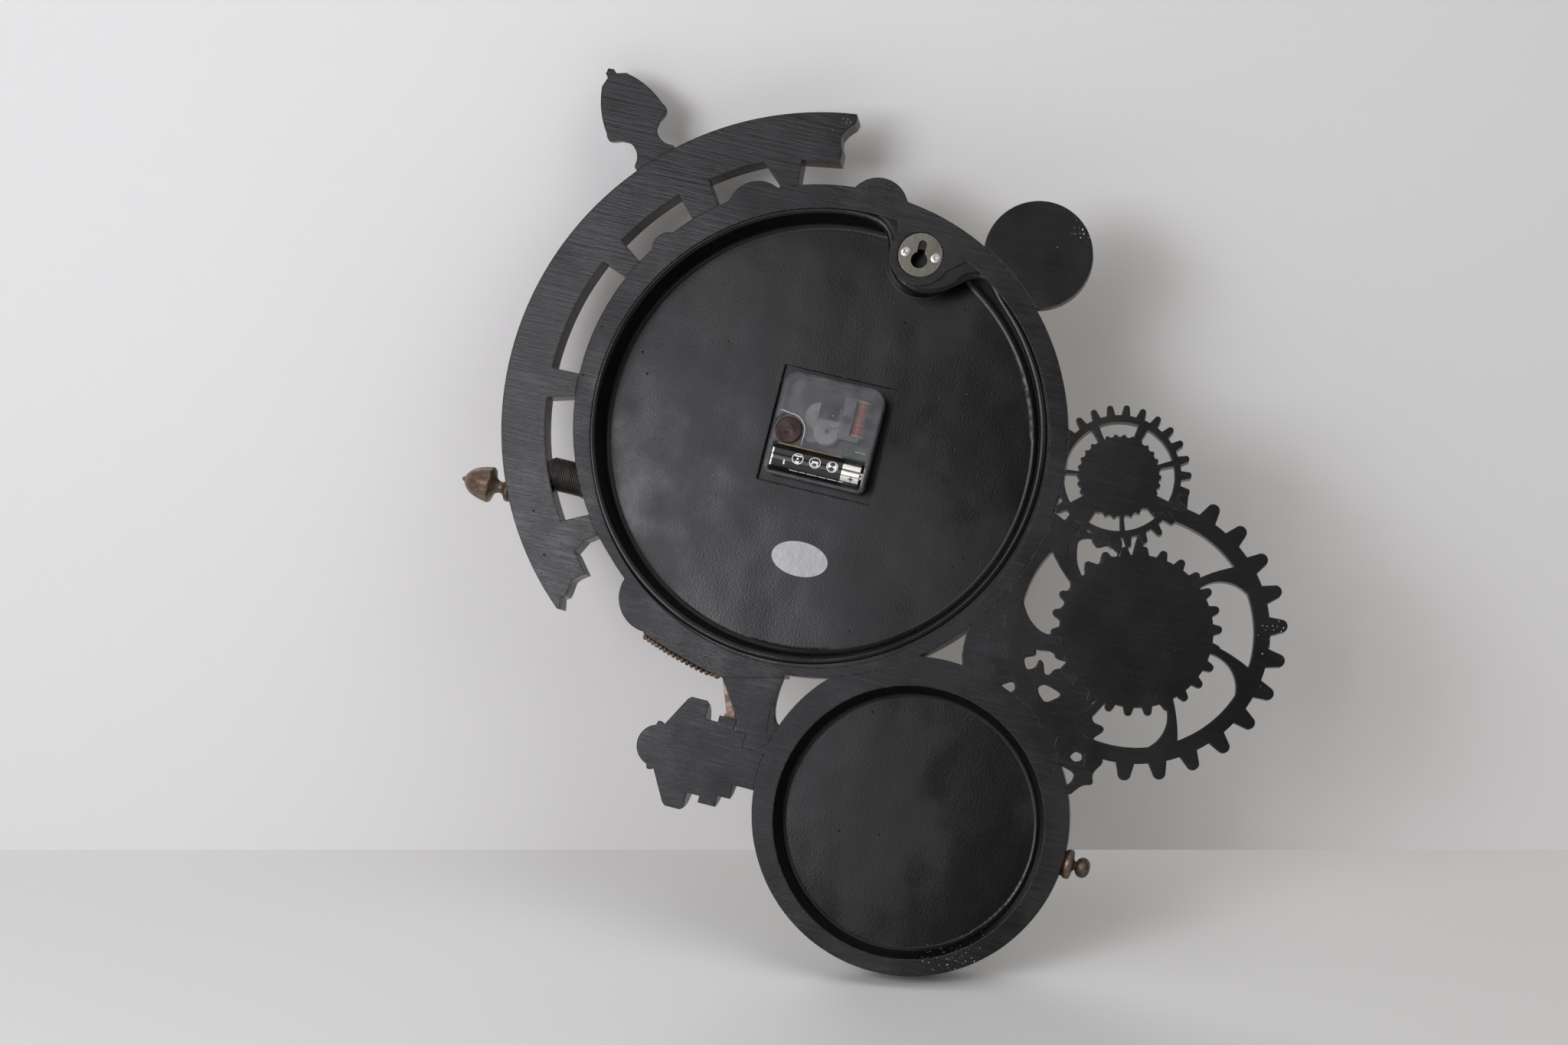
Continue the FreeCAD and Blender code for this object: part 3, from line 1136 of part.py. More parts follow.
def make_case():
    wall = mm("case_wall")
    tray = case_outline(0, TRAY_TOP, CASE_FRONT).cut(case_outline(wall, TRAY_TOP, CASE_FLOOR))
    posts = []
    board_z = mm("bay_top_z") + mm("board_height") / 2 + wall
    for side in (-0.32, 0.32):
        place = (BOARD_X + side * mm("board_width"), board_z)
        posts.append(disc(place, mm("post_radius"), BOARD_FRONT, CASE_FLOOR))
    stud_top = layer(2) + mm("wheel_thickness")
    posts.append(disc(MINUTE_WHEEL, mm("train_shaft_radius"), stud_top, CASE_FLOOR))
    stator_front = layer(7)
    for level in (mm("coil_z") - mm("coil_length") / 2 - mm("stator_leg"),
                  mm("coil_z") + mm("coil_length") / 2 + mm("stator_leg")):
        posts.append(disc((mm("coil_x"), level), mm("stator_leg") / 2, stator_front, CASE_FLOOR))
    bay_wall = block(-mm("case_width") / 2 + wall, mm("case_width") / 2 - wall,
                     mm("bay_top_z") - wall / 2, mm("bay_top_z"), TRAY_TOP, CASE_FLOOR)
    tray = tray.multiFuse(posts + [bay_wall])
    holes = [disc(place, mm("train_shaft_radius") + mm("running_play"), CASE_FLOOR,
                  CASE_FLOOR - mm("pivot_depth")) for place in (THIRD, ROTOR, KNOB)]
    holes.append(disc(ARBOR, mm("bushing_radius"), CASE_FLOOR, CASE_FRONT))
    return tray.cut(holes)


BOARD_X = mm("coil_x")
BOARD_FRONT = layer(5)


def make_cover():
    wall = mm("cover_wall")
    shell = case_outline(0, CASE_BACK, TRAY_TOP).cut(case_outline(wall, COVER_INNER, TRAY_TOP))
    low = mm("case_z") - mm("case_height") / 2
    battery_bay = block(-mm("case_width") / 2 + wall * 2, mm("case_width") / 2 - wall * 2,
                        low + wall * 1.2, mm("bay_top_z"), CASE_BACK, TRAY_TOP)
    divider = block(-mm("case_width") / 2 + wall, mm("case_width") / 2 - wall,
                    mm("bay_top_z"), mm("bay_top_z") + wall, COVER_INNER, TRAY_TOP)
    sunk = CASE_BACK - mm("knob_recess")
    recess_radius = mm("knob_radius") + mm("knob_recess_play")
    recess = disc(KNOB, recess_radius, CASE_BACK, sunk)
    recess = recess.fuse(block(KNOB[0] - recess_radius, KNOB[0] + recess_radius,
                               mm("bay_top_z") + wall, KNOB[1], CASE_BACK, sunk))
    floor = disc(KNOB, recess_radius + wall, CASE_BACK, sunk - wall)
    floor = floor.fuse(block(KNOB[0] - recess_radius - wall, KNOB[0] + recess_radius + wall,
                             mm("bay_top_z"), KNOB[1], CASE_BACK, sunk - wall))
    floor = floor.common(case_outline(0, CASE_BACK, TRAY_TOP))
    bosses = []
    for place, reach in ((ARBOR, layer(6)), (THIRD, layer(6)), (STEP, layer(7)),
                         (ROTOR, layer(8) + mm("rotor_height") / 2)):
        end = reach + mm("wheel_thickness")
        bosses.append(disc(place, mm("post_radius"), COVER_INNER, max(end, reach)))
    body = shell.multiFuse([divider, floor] + bosses).cut([battery_bay, recess])
    bore = mm("train_shaft_radius") + mm("running_play")
    holes = []
    for place in (ARBOR, THIRD, STEP, ROTOR):
        holes.append(disc(place, bore, COVER_INNER, layer(6)))
    holes.append(disc(KNOB, mm("minute_pipe_radius") + mm("running_play"), CASE_BACK,
                      sunk - wall * 2))
    return max(body.cut(holes).Solids, key=lambda part: part.Volume)


movement_case = make_case()
keep("movement_case", movement_case)
keep("movement_cover", make_cover())


def wheel(place, teeth, module, number, phase):
    """A moulded wheel of one layer: thin teeth that run with play."""
    pitch = teeth * module / 2
    back = layer(number) + mm("wheel_thickness")
    solid = slab(toothed_face(place, teeth, pitch + module * 0.75, pitch - module * 1.15,
                              0.24, 0.09, phase), back, layer(number))
    return solid


def mate_phase(angle, phase, teeth, mate_teeth):
    """The phase that sets a mate's gap on the tooth of its driver, along the line of centres."""
    pitch = 360.0 / teeth
    return angle + 180.0 - 360.0 / mate_teeth * ((phase - angle) / pitch + 0.5)


def shaft(place, radius, back, front):
    return disc(place, radius, back, front)


END = mm("pivot_depth") * 0.8
SHAFT = mm("train_shaft_radius")
SHAFT_BACK = COVER_INNER - mm("running_play")
SHAFT_FRONT = CASE_FLOOR - END

# Minute train: pipe, minute wheel, hour wheel and setting shaft
HAND_BASE = DIAL_FRONT - mm("washer_thickness") - mm("nut_height")
HOUR_HAND_BACK = HAND_BASE - mm("hand_lift") * 0.4
MINUTE_HAND_BACK = HOUR_HAND_BACK - mm("hand_step")
SECOND_HAND_BACK = MINUTE_HAND_BACK - mm("hand_step")
HAND = mm("hand_thickness")
PLAY = mm("running_play")
minute_wheel_phase = mate_phase(SETTING_ANGLE, 0.0, MINUTE_TEETH, MINUTE_WHEEL_TEETH)
setting_phase = mate_phase(SETTING_ANGLE, minute_wheel_phase, MINUTE_WHEEL_TEETH, SETTING_TEETH)
hour_phase = mate_phase(SETTING_ANGLE + 180, 0.0, HOUR_PINION_TEETH, HOUR_TEETH)


def make_minute_pipe():
    back = layer(3) + mm("wheel_thickness")
    pipe = disc(ARBOR, mm("minute_pipe_radius"), back, MINUTE_HAND_BACK - HAND)
    pipe = pipe.fuse(wheel(ARBOR, MINUTE_TEETH, mm("minute_module"), 2, 0.0))
    return pipe.cut(disc(ARBOR, mm("second_shaft_radius") + PLAY, back, MINUTE_HAND_BACK - HAND))


def make_minute_wheel():
    solid = wheel(MINUTE_WHEEL, MINUTE_WHEEL_TEETH, mm("minute_module"), 2, minute_wheel_phase)
    pinion = wheel(MINUTE_WHEEL, HOUR_PINION_TEETH, mm("hour_module"), 1, 0.0)
    pinion = pinion.fuse(disc(MINUTE_WHEEL, mm("hour_module") * 3, layer(2), layer(1)))
    bore = disc(MINUTE_WHEEL, SHAFT + PLAY, layer(3), layer(1))
    return solid.fuse(pinion).cut(bore)


def make_hour_wheel():
    solid = wheel(ARBOR, HOUR_TEETH, mm("hour_module"), 1, hour_phase)
    solid = solid.fuse(disc(ARBOR, mm("hour_pipe_radius"), layer(1) + mm("wheel_thickness"),
                            HOUR_HAND_BACK - HAND))
    return solid.cut(disc(ARBOR, mm("minute_pipe_radius") + PLAY, layer(2),
                          HOUR_HAND_BACK - HAND))


def make_setting_shaft():
    solid = wheel(KNOB, SETTING_TEETH, mm("minute_module"), 2, setting_phase)
    sunk = CASE_BACK - mm("knob_recess")
    stem = disc(KNOB, mm("minute_pipe_radius"), sunk + PLAY, layer(2))
    return solid.multiFuse([stem, disc(KNOB, SHAFT, layer(2), SHAFT_FRONT)])


def make_knob():
    back = CASE_BACK - mm("knob_recess") + PLAY + mm("knob_thickness")
    radius = mm("knob_radius")
    ribbed = toothed_face(KNOB, 48, radius, radius * 0.975, 0.3, 0.2, 0.0)
    solid = slab(ribbed, back, CASE_BACK - mm("knob_recess") + PLAY)
    dimple = disc(KNOB, radius * 0.3, back, back - mm("knob_thickness") * 0.35)
    return solid.cut(dimple)


keep("minute_pipe", make_minute_pipe())
keep("minute_wheel", make_minute_wheel())
keep("hour_wheel", make_hour_wheel())
keep("setting_shaft", make_setting_shaft())
keep("setting_knob", make_knob())

# Seconds train: rotor, step wheel, second wheel, third wheel and centre wheel
step_phase = mate_phase(STEP_ANGLE, 0.0, SECOND_TEETH, STEP_PINION_TEETH)
rotor_phase = mate_phase(ROTOR_ANGLE, 0.0, STEP_TEETH, ROTOR_TEETH)
third_phase = mate_phase(THIRD_ANGLE, 0.0, SECOND_PINION_TEETH, THIRD_TEETH)
centre_phase = mate_phase(THIRD_ANGLE + 180, 0.0, THIRD_PINION_TEETH, CENTRE_TEETH)


def make_second_wheel():
    solid = wheel(ARBOR, SECOND_TEETH, mm("fine_module"), 5, 0.0)
    pinion = wheel(ARBOR, SECOND_PINION_TEETH, THIRD_MODULE, 4, 0.0)
    hub = disc(ARBOR, THIRD_MODULE * 2.8, layer(5), layer(4))
    second_shaft = disc(ARBOR, mm("second_shaft_radius"), SHAFT_BACK, SECOND_HAND_BACK - HAND)
    return solid.multiFuse([pinion, hub, second_shaft])


def make_third_wheel():
    solid = wheel(THIRD, THIRD_TEETH, THIRD_MODULE, 4, third_phase)
    pinion = wheel(THIRD, THIRD_PINION_TEETH, mm("fine_module"), 3, 0.0)
    hub = disc(THIRD, mm("fine_module") * 2.8, layer(4), layer(3))
    return solid.multiFuse([pinion, hub, disc(THIRD, SHAFT, SHAFT_BACK, SHAFT_FRONT)])


def make_centre_wheel():
    solid = wheel(ARBOR, CENTRE_TEETH, mm("fine_module"), 3, centre_phase)
    return solid.cut(disc(ARBOR, mm("minute_pipe_radius") + PLAY, layer(4), layer(3)))


def make_step_wheel():
    solid = wheel(STEP, STEP_TEETH, mm("fine_module"), 6, 0.0)
    pinion = wheel(STEP, STEP_PINION_TEETH, mm("fine_module"), 5, step_phase)
    hub = disc(STEP, mm("fine_module") * 3.8, layer(6), layer(5))
    return solid.multiFuse([pinion, hub, disc(STEP, SHAFT, SHAFT_BACK, layer(5))])


def make_rotor():
    magnet = disc(ROTOR, mm("rotor_radius"), layer(7) + mm("rotor_height"), layer(7))
    pinion = wheel(ROTOR, ROTOR_TEETH, mm("fine_module"), 6, rotor_phase)
    hub = disc(ROTOR, mm("fine_module") * 3.8, layer(7), layer(6))
    return magnet.multiFuse([pinion, hub, disc(ROTOR, SHAFT, SHAFT_BACK, SHAFT_FRONT)])


keep("second_wheel", make_second_wheel())
keep("third_wheel", make_third_wheel())
keep("centre_wheel", make_centre_wheel())
keep("step_wheel", make_step_wheel())
keep("rotor", make_rotor())


# Coil, stator and circuit board
def make_stator():
    front = layer(7)
    back = front + mm("stator_thickness")
    leg = mm("stator_leg")
    half_length = mm("coil_length") / 2 + mm("bobbin_flange") + leg
    core = block(mm("coil_x") - leg / 2, mm("coil_x") + leg / 2, mm("coil_z") - half_length,
                 mm("coil_z") + half_length, back, front)
    tongue_low = ROTOR[0] - mm("stator_tongue") / 2
    tongue = block(tongue_low, ROTOR[0] + mm("stator_tongue") / 2,
                   mm("coil_z") - half_length, mm("coil_z") + half_length, back, front)
    bars = [block(mm("coil_x"), tongue_low, level, level + leg, back, front)
            for level in (mm("coil_z") - half_length, mm("coil_z") + half_length - leg)]
    hole = disc(ROTOR, mm("rotor_radius") + mm("stator_gap"), back, front)
    return core.multiFuse([tongue] + bars).cut(hole).removeSplitter()


def upright(radius, length, y):
    low = Vector(mm("coil_x"), y, mm("coil_z") - length / 2)
    return Part.makeCylinder(radius, length, low, Vector(0, 0, 1))


COIL_Y = layer(7) + mm("stator_thickness") / 2


def make_bobbin():
    flange = mm("bobbin_flange")
    length = mm("coil_length")
    full = upright(mm("bobbin_radius"), length + flange * 2, COIL_Y)
    waist = upright(mm("bobbin_radius"), length, COIL_Y)
    tube = upright(mm("bobbin_bore") + flange * 0.4, length, COIL_Y)
    leg = mm("stator_leg") / 2
    slot = block(mm("coil_x") - leg, mm("coil_x") + leg, mm("coil_z") - length,
                 mm("coil_z") + length, layer(7) + mm("stator_thickness"), layer(7))
    return full.cut(waist).fuse(tube).cut(slot)


def make_board():
    z_low = mm("bay_top_z") + mm("case_wall")
    half = mm("board_width") / 2
    back = BOARD_FRONT + mm("board_thickness")
    board = block(BOARD_X - half, BOARD_X + half, z_low, z_low + mm("board_height"),
                  back, BOARD_FRONT)
    chip = domed_head(mm("chip_radius"), mm("chip_height"),
                      (BOARD_X + half / 2, z_low + mm("board_height") / 2), back)
    return board.fuse(chip)


keep("stator_plate", make_stator())
keep("coil_bobbin", make_bobbin())
keep("circuit_board", make_board())


def layer_level(number):
    """The front of a wheel layer as an expression."""
    return f"({SUMS['case_floor']} + Sizes.layer_start + {number - 1} * Sizes.layer_pitch)"


coil_place = {"x": SUMS["coil_x"], "y": f"{layer_level(7)} + Sizes.stator_thickness / 2",
              "z": "Sizes.coil_z - Sizes.coil_length / 2"}
wound = rod("winding_outside", "Sizes.coil_radius", "Sizes.coil_length", UPRIGHT, **coil_place)
wound_bore = rod("winding_inside", "Sizes.bobbin_bore + Sizes.bobbin_flange * 0.4",
                 "Sizes.coil_length", UPRIGHT, **coil_place)
finish(cut("winding_cut", wound, wound_bore), "coil_winding")
crystal = rod("crystal_can", "Sizes.crystal_radius", "Sizes.crystal_length", ALONG_X)
finish(crystal, "crystal_can", x=f"{SUMS['coil_x']} - Sizes.board_width * 0.42",
       y=f"{layer_level(5)} + Sizes.board_thickness + Sizes.crystal_radius",
       z="Sizes.bay_top_z + Sizes.case_wall + Sizes.board_height / 2")

# Battery and its contacts
CELL_PLUS = "(Sizes.battery_x - Sizes.battery_length / 2)"
CELL_MINUS = "(Sizes.battery_x + Sizes.battery_length / 2)"
CELL_AXIS = {"y": SUMS["battery_y"], "z": SUMS["battery_z"]}
can_radius = "Sizes.battery_radius - Sizes.jacket_thickness"
can = rod("can_body", can_radius, "Sizes.battery_length - Sizes.nub_length", ALONG_X,
          x=f"{CELL_PLUS} + Sizes.nub_length", **CELL_AXIS)
nub = rod("can_nub", "Sizes.nub_radius", "Sizes.nub_length", ALONG_X, x=CELL_PLUS, **CELL_AXIS)
finish(fuse("can_fused", can, nub), "battery_can")
jacket_length = "Sizes.battery_length - Sizes.jacket_bare - Sizes.nub_length / 2"
jacket_place = dict(CELL_AXIS, x=f"{CELL_PLUS} + Sizes.jacket_bare")
jacket = rod("jacket_outside", "Sizes.battery_radius", jacket_length, ALONG_X, **jacket_place)
jacket_bore = rod("jacket_inside", can_radius, jacket_length, ALONG_X, **jacket_place)
finish(cut("jacket_cut", jacket, jacket_bore), "battery_jacket")


def contact(label, x_low):
    """An upright strip beside the battery's end that stands on the case's floor."""
    strip = box(f"{label}_strip", "Sizes.contact_thickness",
                "Sizes.battery_floor_play + Sizes.battery_radius * 1.5",
                "Sizes.battery_radius * 1.4")
    finish(strip, label, x=x_low, y=SUMS["case_floor"],
           z=f"{SUMS['battery_z']} - Sizes.battery_radius * 0.7")


contact("positive_contact", f"{CELL_PLUS} - Sizes.contact_play - Sizes.contact_thickness")
contact("negative_contact", f"{CELL_MINUS} + Sizes.contact_play")

# Bushing, washer and nut that hold the movement to the housing
def tube_piece(label, outer, inner, height, back):
    shell = rod(f"{label}_outside", outer, height)
    hole = rod(f"{label}_inside", inner, height)
    return finish(cut(f"{label}_cut", shell, hole), label, y=back)


HOUSING_FRONT = "-Sizes.housing_depth"
FLOOR_LEVEL = SUMS["case_floor"]
STACK = "(Sizes.dial_thickness + Sizes.washer_thickness + Sizes.nut_height)"
tube_piece("bushing", "Sizes.bushing_radius", "Sizes.hour_pipe_radius + Sizes.running_play",
           f"{FLOOR_LEVEL} + Sizes.housing_depth + {STACK}", FLOOR_LEVEL)
tube_piece("nut_washer", "Sizes.washer_radius", "Sizes.bushing_radius",
           "Sizes.washer_thickness", f"{HOUSING_FRONT} - Sizes.dial_thickness")
nut = doc.addObject("Part::Prism", "nut_outside")
nut.Polygon = 6
nut.Placement = Placement(Vector(), Rotation(Vector(1, 0, 0), 90))
bind(nut, Circumradius="Sizes.nut_flats / sqrt(3)", Height="Sizes.nut_height")
nut_hole = rod("nut_inside", "Sizes.bushing_radius", "Sizes.nut_height")
finish(cut("nut_cut", nut, nut_hole), "fixing_nut",
       y=f"{HOUSING_FRONT} - Sizes.dial_thickness - Sizes.washer_thickness")

# Hands: spade hour and minute hands, and a plain second hand with a tail
HAND_SHARES = [(0.30, 0.0), (0.30, 0.42), (0.95, 0.55), (1.0, 0.66), (0.45, 0.78), (0.24, 0.84),
               (0.0, 1.0)]


def make_hand(length, width, bore, back, angle):
    half = mm(width) / 2
    side = [(half * across, mm(length) * along) for across, along in HAND_SHARES]
    outline = side + [(-x, z) for x, z in reversed(side[:-1])]
    blade = slab(polygon(outline), back, back - HAND)
    hub = disc(ARBOR, mm("hand_hub_radius"), back, back - HAND)
    solid = blade.fuse(hub).cut(disc(ARBOR, mm(bore), back, back - HAND))
    solid.rotate(Vector(), Vector(0, 1, 0), angle)
    return solid


def make_second_hand():
    half = mm("second_hand_width") / 2
    outline = [(-half, -mm("second_hand_tail")), (half, -mm("second_hand_tail")),
               (half * 0.3, mm("second_hand_length")), (-half * 0.3, mm("second_hand_length"))]
    back = SECOND_HAND_BACK
    blade = slab(polygon(outline), back, back - HAND)
    hub = disc(ARBOR, mm("hand_hub_radius") * 0.6, back, back - HAND)
    weight = disc((0.0, -mm("second_hand_tail") * 0.8), mm("second_hand_width") * 1.4, back,
                  back - HAND)
    solid = blade.multiFuse([hub, weight])
    solid = solid.cut(disc(ARBOR, mm("second_shaft_radius"), back, back - HAND))
    solid.rotate(Vector(), Vector(0, 1, 0), 210)
    return solid


keep("hour_hand", make_hand("hour_hand_length", "hour_hand_width", "hour_pipe_radius",
                            HOUR_HAND_BACK, 305.0))
keep("minute_hand", make_hand("minute_hand_length", "minute_hand_width", "minute_pipe_radius",
                              MINUTE_HAND_BACK, 60.0))
keep("second_hand", make_second_hand())


# Bare oval plate on the hollow's floor
oval = doc.addObject("Part::Ellipse", "label_oval")
oval.Placement = Placement(Vector(), Rotation(Vector(1, 0, 0), 90))
bind(oval, MajorRadius="Sizes.label_width / 2", MinorRadius="Sizes.label_height / 2")
label = doc.addObject("Part::Extrusion", "label_solid")
label.Base = oval
label.DirMode = "Custom"
label.Dir = Vector(0, 1, 0)
label.Solid = True
bind(label, LengthFwd="Sizes.label_thickness")
finish(label, "label_plate", x="Sizes.label_x", y="Sizes.hollow_floor_wall - Sizes.housing_depth", z="Sizes.label_z")

# Check every object and write one file for each sub-part
doc.recompute()
for made in doc.Objects:
    if "Invalid" in made.State or "Error" in made.State:
        raise RuntimeError(f"{made.Label} failed: {made.State}")
os.makedirs("parts", exist_ok=True)
for made in subparts:
    shape = made.Shape
    if shape.isNull() or not shape.isValid() or not shape.Solids:
        raise RuntimeError(f"{made.Label} has no valid solid")
    shape.exportStep(f"parts/{made.Label}.step")
    print(f"{made.Label}: {len(shape.Solids)} solids, {shape.Volume:.1f} mm3")
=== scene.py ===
import bmesh
import bpy
import json
import math
from mathutils import Matrix, Vector


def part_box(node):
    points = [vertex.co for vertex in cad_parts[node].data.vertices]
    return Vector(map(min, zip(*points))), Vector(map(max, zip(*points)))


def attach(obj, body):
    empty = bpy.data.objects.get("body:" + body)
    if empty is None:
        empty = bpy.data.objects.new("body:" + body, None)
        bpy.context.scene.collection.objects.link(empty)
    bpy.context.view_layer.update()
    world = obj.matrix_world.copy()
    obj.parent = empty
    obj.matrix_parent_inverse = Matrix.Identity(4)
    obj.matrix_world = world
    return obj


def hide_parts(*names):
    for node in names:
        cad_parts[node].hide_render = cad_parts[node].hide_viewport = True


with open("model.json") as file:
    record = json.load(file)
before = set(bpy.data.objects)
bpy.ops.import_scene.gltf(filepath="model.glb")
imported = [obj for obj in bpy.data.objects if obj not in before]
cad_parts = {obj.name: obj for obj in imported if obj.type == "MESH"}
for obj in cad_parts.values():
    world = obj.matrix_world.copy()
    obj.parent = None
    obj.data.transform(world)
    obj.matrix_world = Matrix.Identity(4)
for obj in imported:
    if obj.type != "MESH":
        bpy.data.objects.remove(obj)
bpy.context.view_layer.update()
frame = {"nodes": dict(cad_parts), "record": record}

# Steampunk wall clock seen from its cast back: X to the left of that view, Z up as it hangs,
# and Y = 0 the sanded plane that rests on a wall. Lengths are in metres.
MM = 0.001
NODES = frame["nodes"]
SIDEWAYS, BACKWARD = Vector((1.0, 0.0, 0.0)), Vector((0.0, 1.0, 0.0))
HOLLOW = Vector((0.0038, 0.0, -0.0038))
LOWER = Vector((-0.0954, 0.0, -0.1905))
LOWER_HOLLOW = Vector((-0.0954, 0.0, -0.1941))


# Shader graphs
class Graph:
    """Adds nodes to a tree and joins them."""

    def __init__(self, tree):
        self.tree = tree

    def feed(self, socket, value):
        if isinstance(value, bpy.types.NodeSocket):
            self.tree.links.new(value, socket)
        elif socket.type == "RGBA":
            socket.default_value = (*value, 1.0)
        else:
            socket.default_value = value

    def fill(self, node, **inputs):
        """Feed a node's inputs by their names, with _ for a space."""
        for name, value in inputs.items():
            self.feed(node.inputs[name.replace("_", " ")], value)

    def add(self, kind, settings=None, **inputs):
        node = self.tree.nodes.new(kind)
        for name, value in (settings or {}).items():
            setattr(node, name, value)
        self.fill(node, **inputs)
        return node

    def use(self, tree, **inputs):
        return self.add("ShaderNodeGroup", {"node_tree": tree}, **inputs).outputs

    def worked_out(self, kind, operation, first, second):
        node = self.add(kind, {"operation": operation})
        self.feed(node.inputs[0], first)
        self.feed(node.inputs[1], second)
        return node.outputs

    def math(self, operation, first, second=0.0):
        return self.worked_out("ShaderNodeMath", operation, first, second)[0]

    def times(self, first, second):
        return self.math("MULTIPLY", first, second)

    def plus(self, first, second):
        return self.math("ADD", first, second)

    def vectors(self, operation, first, second):
        return self.worked_out("ShaderNodeVectorMath", operation, first, second)

    def ramp(self, value, low, high, out_low=0.0, out_high=1.0):
        node = self.add("ShaderNodeMapRange", {"interpolation_type": "SMOOTHSTEP"}, Value=value,
                        From_Min=low, From_Max=high, To_Min=out_low, To_Max=out_high)
        return node.outputs["Result"]

    def blend(self, share, first, second):
        node = self.add("ShaderNodeMix", {"data_type": "RGBA"})
        for index, value in ((0, share), (6, first), (7, second)):
            self.feed(node.inputs[index], value)
        return node.outputs[2]

    def noise(self, place, scale, detail=4.0, rough=0.55):
        return self.add("ShaderNodeTexNoise", Vector=place, Scale=scale, Detail=detail,
                        Roughness=rough).outputs[0]

    def place(self):
        return self.add("ShaderNodeTexCoord").outputs["Object"]

    def axis(self, place, name):
        return self.add("ShaderNodeSeparateXYZ", Vector=place).outputs[name]

    def stretched(self, place, scale):
        return self.vectors("MULTIPLY", place, scale)[0]

    def distance(self, place, centre):
        return self.vectors("DISTANCE", place, centre)["Value"]

    def face_normal(self):
        return self.add("ShaderNodeNewGeometry").outputs["Normal"]

    def bumped(self, height, strength, depth, **normal):
        return self.add("ShaderNodeBump", Height=height, Strength=strength, Distance=depth,
                        **normal).outputs[0]


FLOAT, VECTOR = "NodeSocketFloat", "NodeSocketVector"


def group(name, inputs, outputs):
    """A node group with float or vector inputs, and the graph that fills it."""
    tree = bpy.data.node_groups.new(name, "ShaderNodeTree")
    for label, kind, value in inputs:
        socket = tree.interface.new_socket(label, in_out="INPUT", socket_type=kind)
        socket.default_value = value
    for label, kind in outputs:
        tree.interface.new_socket(label, in_out="OUTPUT", socket_type=kind)
    graph = Graph(tree)
    return tree, graph, graph.add("NodeGroupInput").outputs, graph.add("NodeGroupOutput").inputs


def make_edge_wear():
    """White on outside corners, broken up by noise; Round is the softened normal."""
    tree, graph, given, out = group("edge_wear", [("Radius", FLOAT, 0.001), ("Grain", FLOAT, 260.0)],
                                    [("Mask", FLOAT), ("Round", VECTOR)])
    soft = graph.add("ShaderNodeBevel", {"samples": 4}, Radius=given["Radius"]).outputs[0]
    turn = graph.vectors("DOT_PRODUCT", soft, graph.face_normal())["Value"]
    corner = graph.ramp(turn, 0.995, 0.80)
    broken = graph.ramp(graph.noise(graph.place(), given["Grain"], 3.0), 0.42, 0.62)
    graph.feed(out["Mask"], graph.times(corner, broken))
    graph.feed(out["Round"], soft)
    return tree


def make_clouds():
    """Slow uneven patches between nought and one."""
    tree, graph, given, out = group("clouds", [("Scale", FLOAT, 18.0), ("Low", FLOAT, 0.35),
                                               ("High", FLOAT, 0.68)], [("Mask", FLOAT)])
    value = graph.noise(graph.place(), given["Scale"], 5.0, 0.6)
    graph.feed(out["Mask"], graph.ramp(value, given["Low"], given["High"]))
    return tree


def make_streaks():
    """Fine sanding lines along X, with a slow change of strength."""
    tree, graph, given, out = group("sanding", [("Fine", FLOAT, 1.0)], [("Mask", FLOAT)])
    place = graph.place()
    lines = graph.noise(graph.stretched(place, (28.0, 500.0, 620.0)), given["Fine"], 4.0, 0.7)
    slow = graph.noise(place, 30.0, 3.0)
    value = graph.plus(graph.times(lines, 0.75), graph.times(slow, 0.35))
    graph.feed(out["Mask"], graph.ramp(value, 0.44, 0.66))
    return tree


def make_dents():
    """Height of a hand-finished casting: soft waves, grains and rare pits."""
    tree, graph, given, out = group("casting_surface", [("Waves", FLOAT, 1.0)], [("Height", FLOAT)])
    place = graph.place()
    waves = graph.plus(graph.noise(place, 34.0, 1.0),
                       graph.times(graph.noise(place, 12.0, 1.0), 3.0))
    grain = graph.noise(place, 900.0, 2.0)
    cells = graph.add("ShaderNodeTexVoronoi", Vector=place, Scale=120.0).outputs["Distance"]
    pits = graph.ramp(cells, 0.0, 0.09, -0.8, 0.0)
    rare = graph.ramp(graph.noise(place, 26.0, 1.0), 0.55, 0.62)
    height = graph.plus(graph.times(waves, given["Waves"]),
                        graph.times(grain, 0.10))
    graph.feed(out["Height"], graph.plus(height, graph.times(pits, rare)))
    return tree


def make_chips_and_glints():
    """Small white flecks near one place: bare chips on most castings, painted glints on the large gear's
    teeth.
    """
    tree, graph, given, out = group("chips_and_glints", [("Centre", VECTOR, (0.0, 1.0, 0.0)),
                                               ("Reach", FLOAT, 0.02)], [("Mask", FLOAT)])
    place = graph.place()
    cells = graph.noise(place, 900.0, 1.0, 0.5)
    near = graph.distance(place, given["Centre"])
    share = graph.math("DIVIDE", near, given["Reach"])
    limit = graph.ramp(share, 0.0, 1.0, 0.68, 0.80)
    spot = graph.math("GREATER_THAN", cells, limit)
    inside = graph.math("LESS_THAN", near, given["Reach"])
    graph.feed(out["Mask"], graph.times(spot, inside))
    return tree


WEAR, CLOUDS, SANDING = make_edge_wear(), make_clouds(), make_streaks()
CASTING, CHIPS_AND_GLINTS = make_dents(), make_chips_and_glints()


def material(name):
    made = bpy.data.materials.new(name)
    made.use_nodes = True
    return made, Graph(made.node_tree), made.node_tree.nodes["Principled BSDF"]


BLACK = (0.0020, 0.0019, 0.0022)
CLOUD_BLACK = (0.0060, 0.0057, 0.0066)
SANDED = (0.0125, 0.012, 0.0135)
WORN_BLACK = (0.10, 0.095, 0.09)
BRONZE_DARK = (0.038, 0.026, 0.020)
BRONZE = (0.20, 0.138, 0.100)
BRONZE_BRIGHT = (0.50, 0.38, 0.29)
# White of bare resin in chips, also the colour of the painted glints on the large gear.
BARE_AND_GLINT = (0.62, 0.60, 0.57)


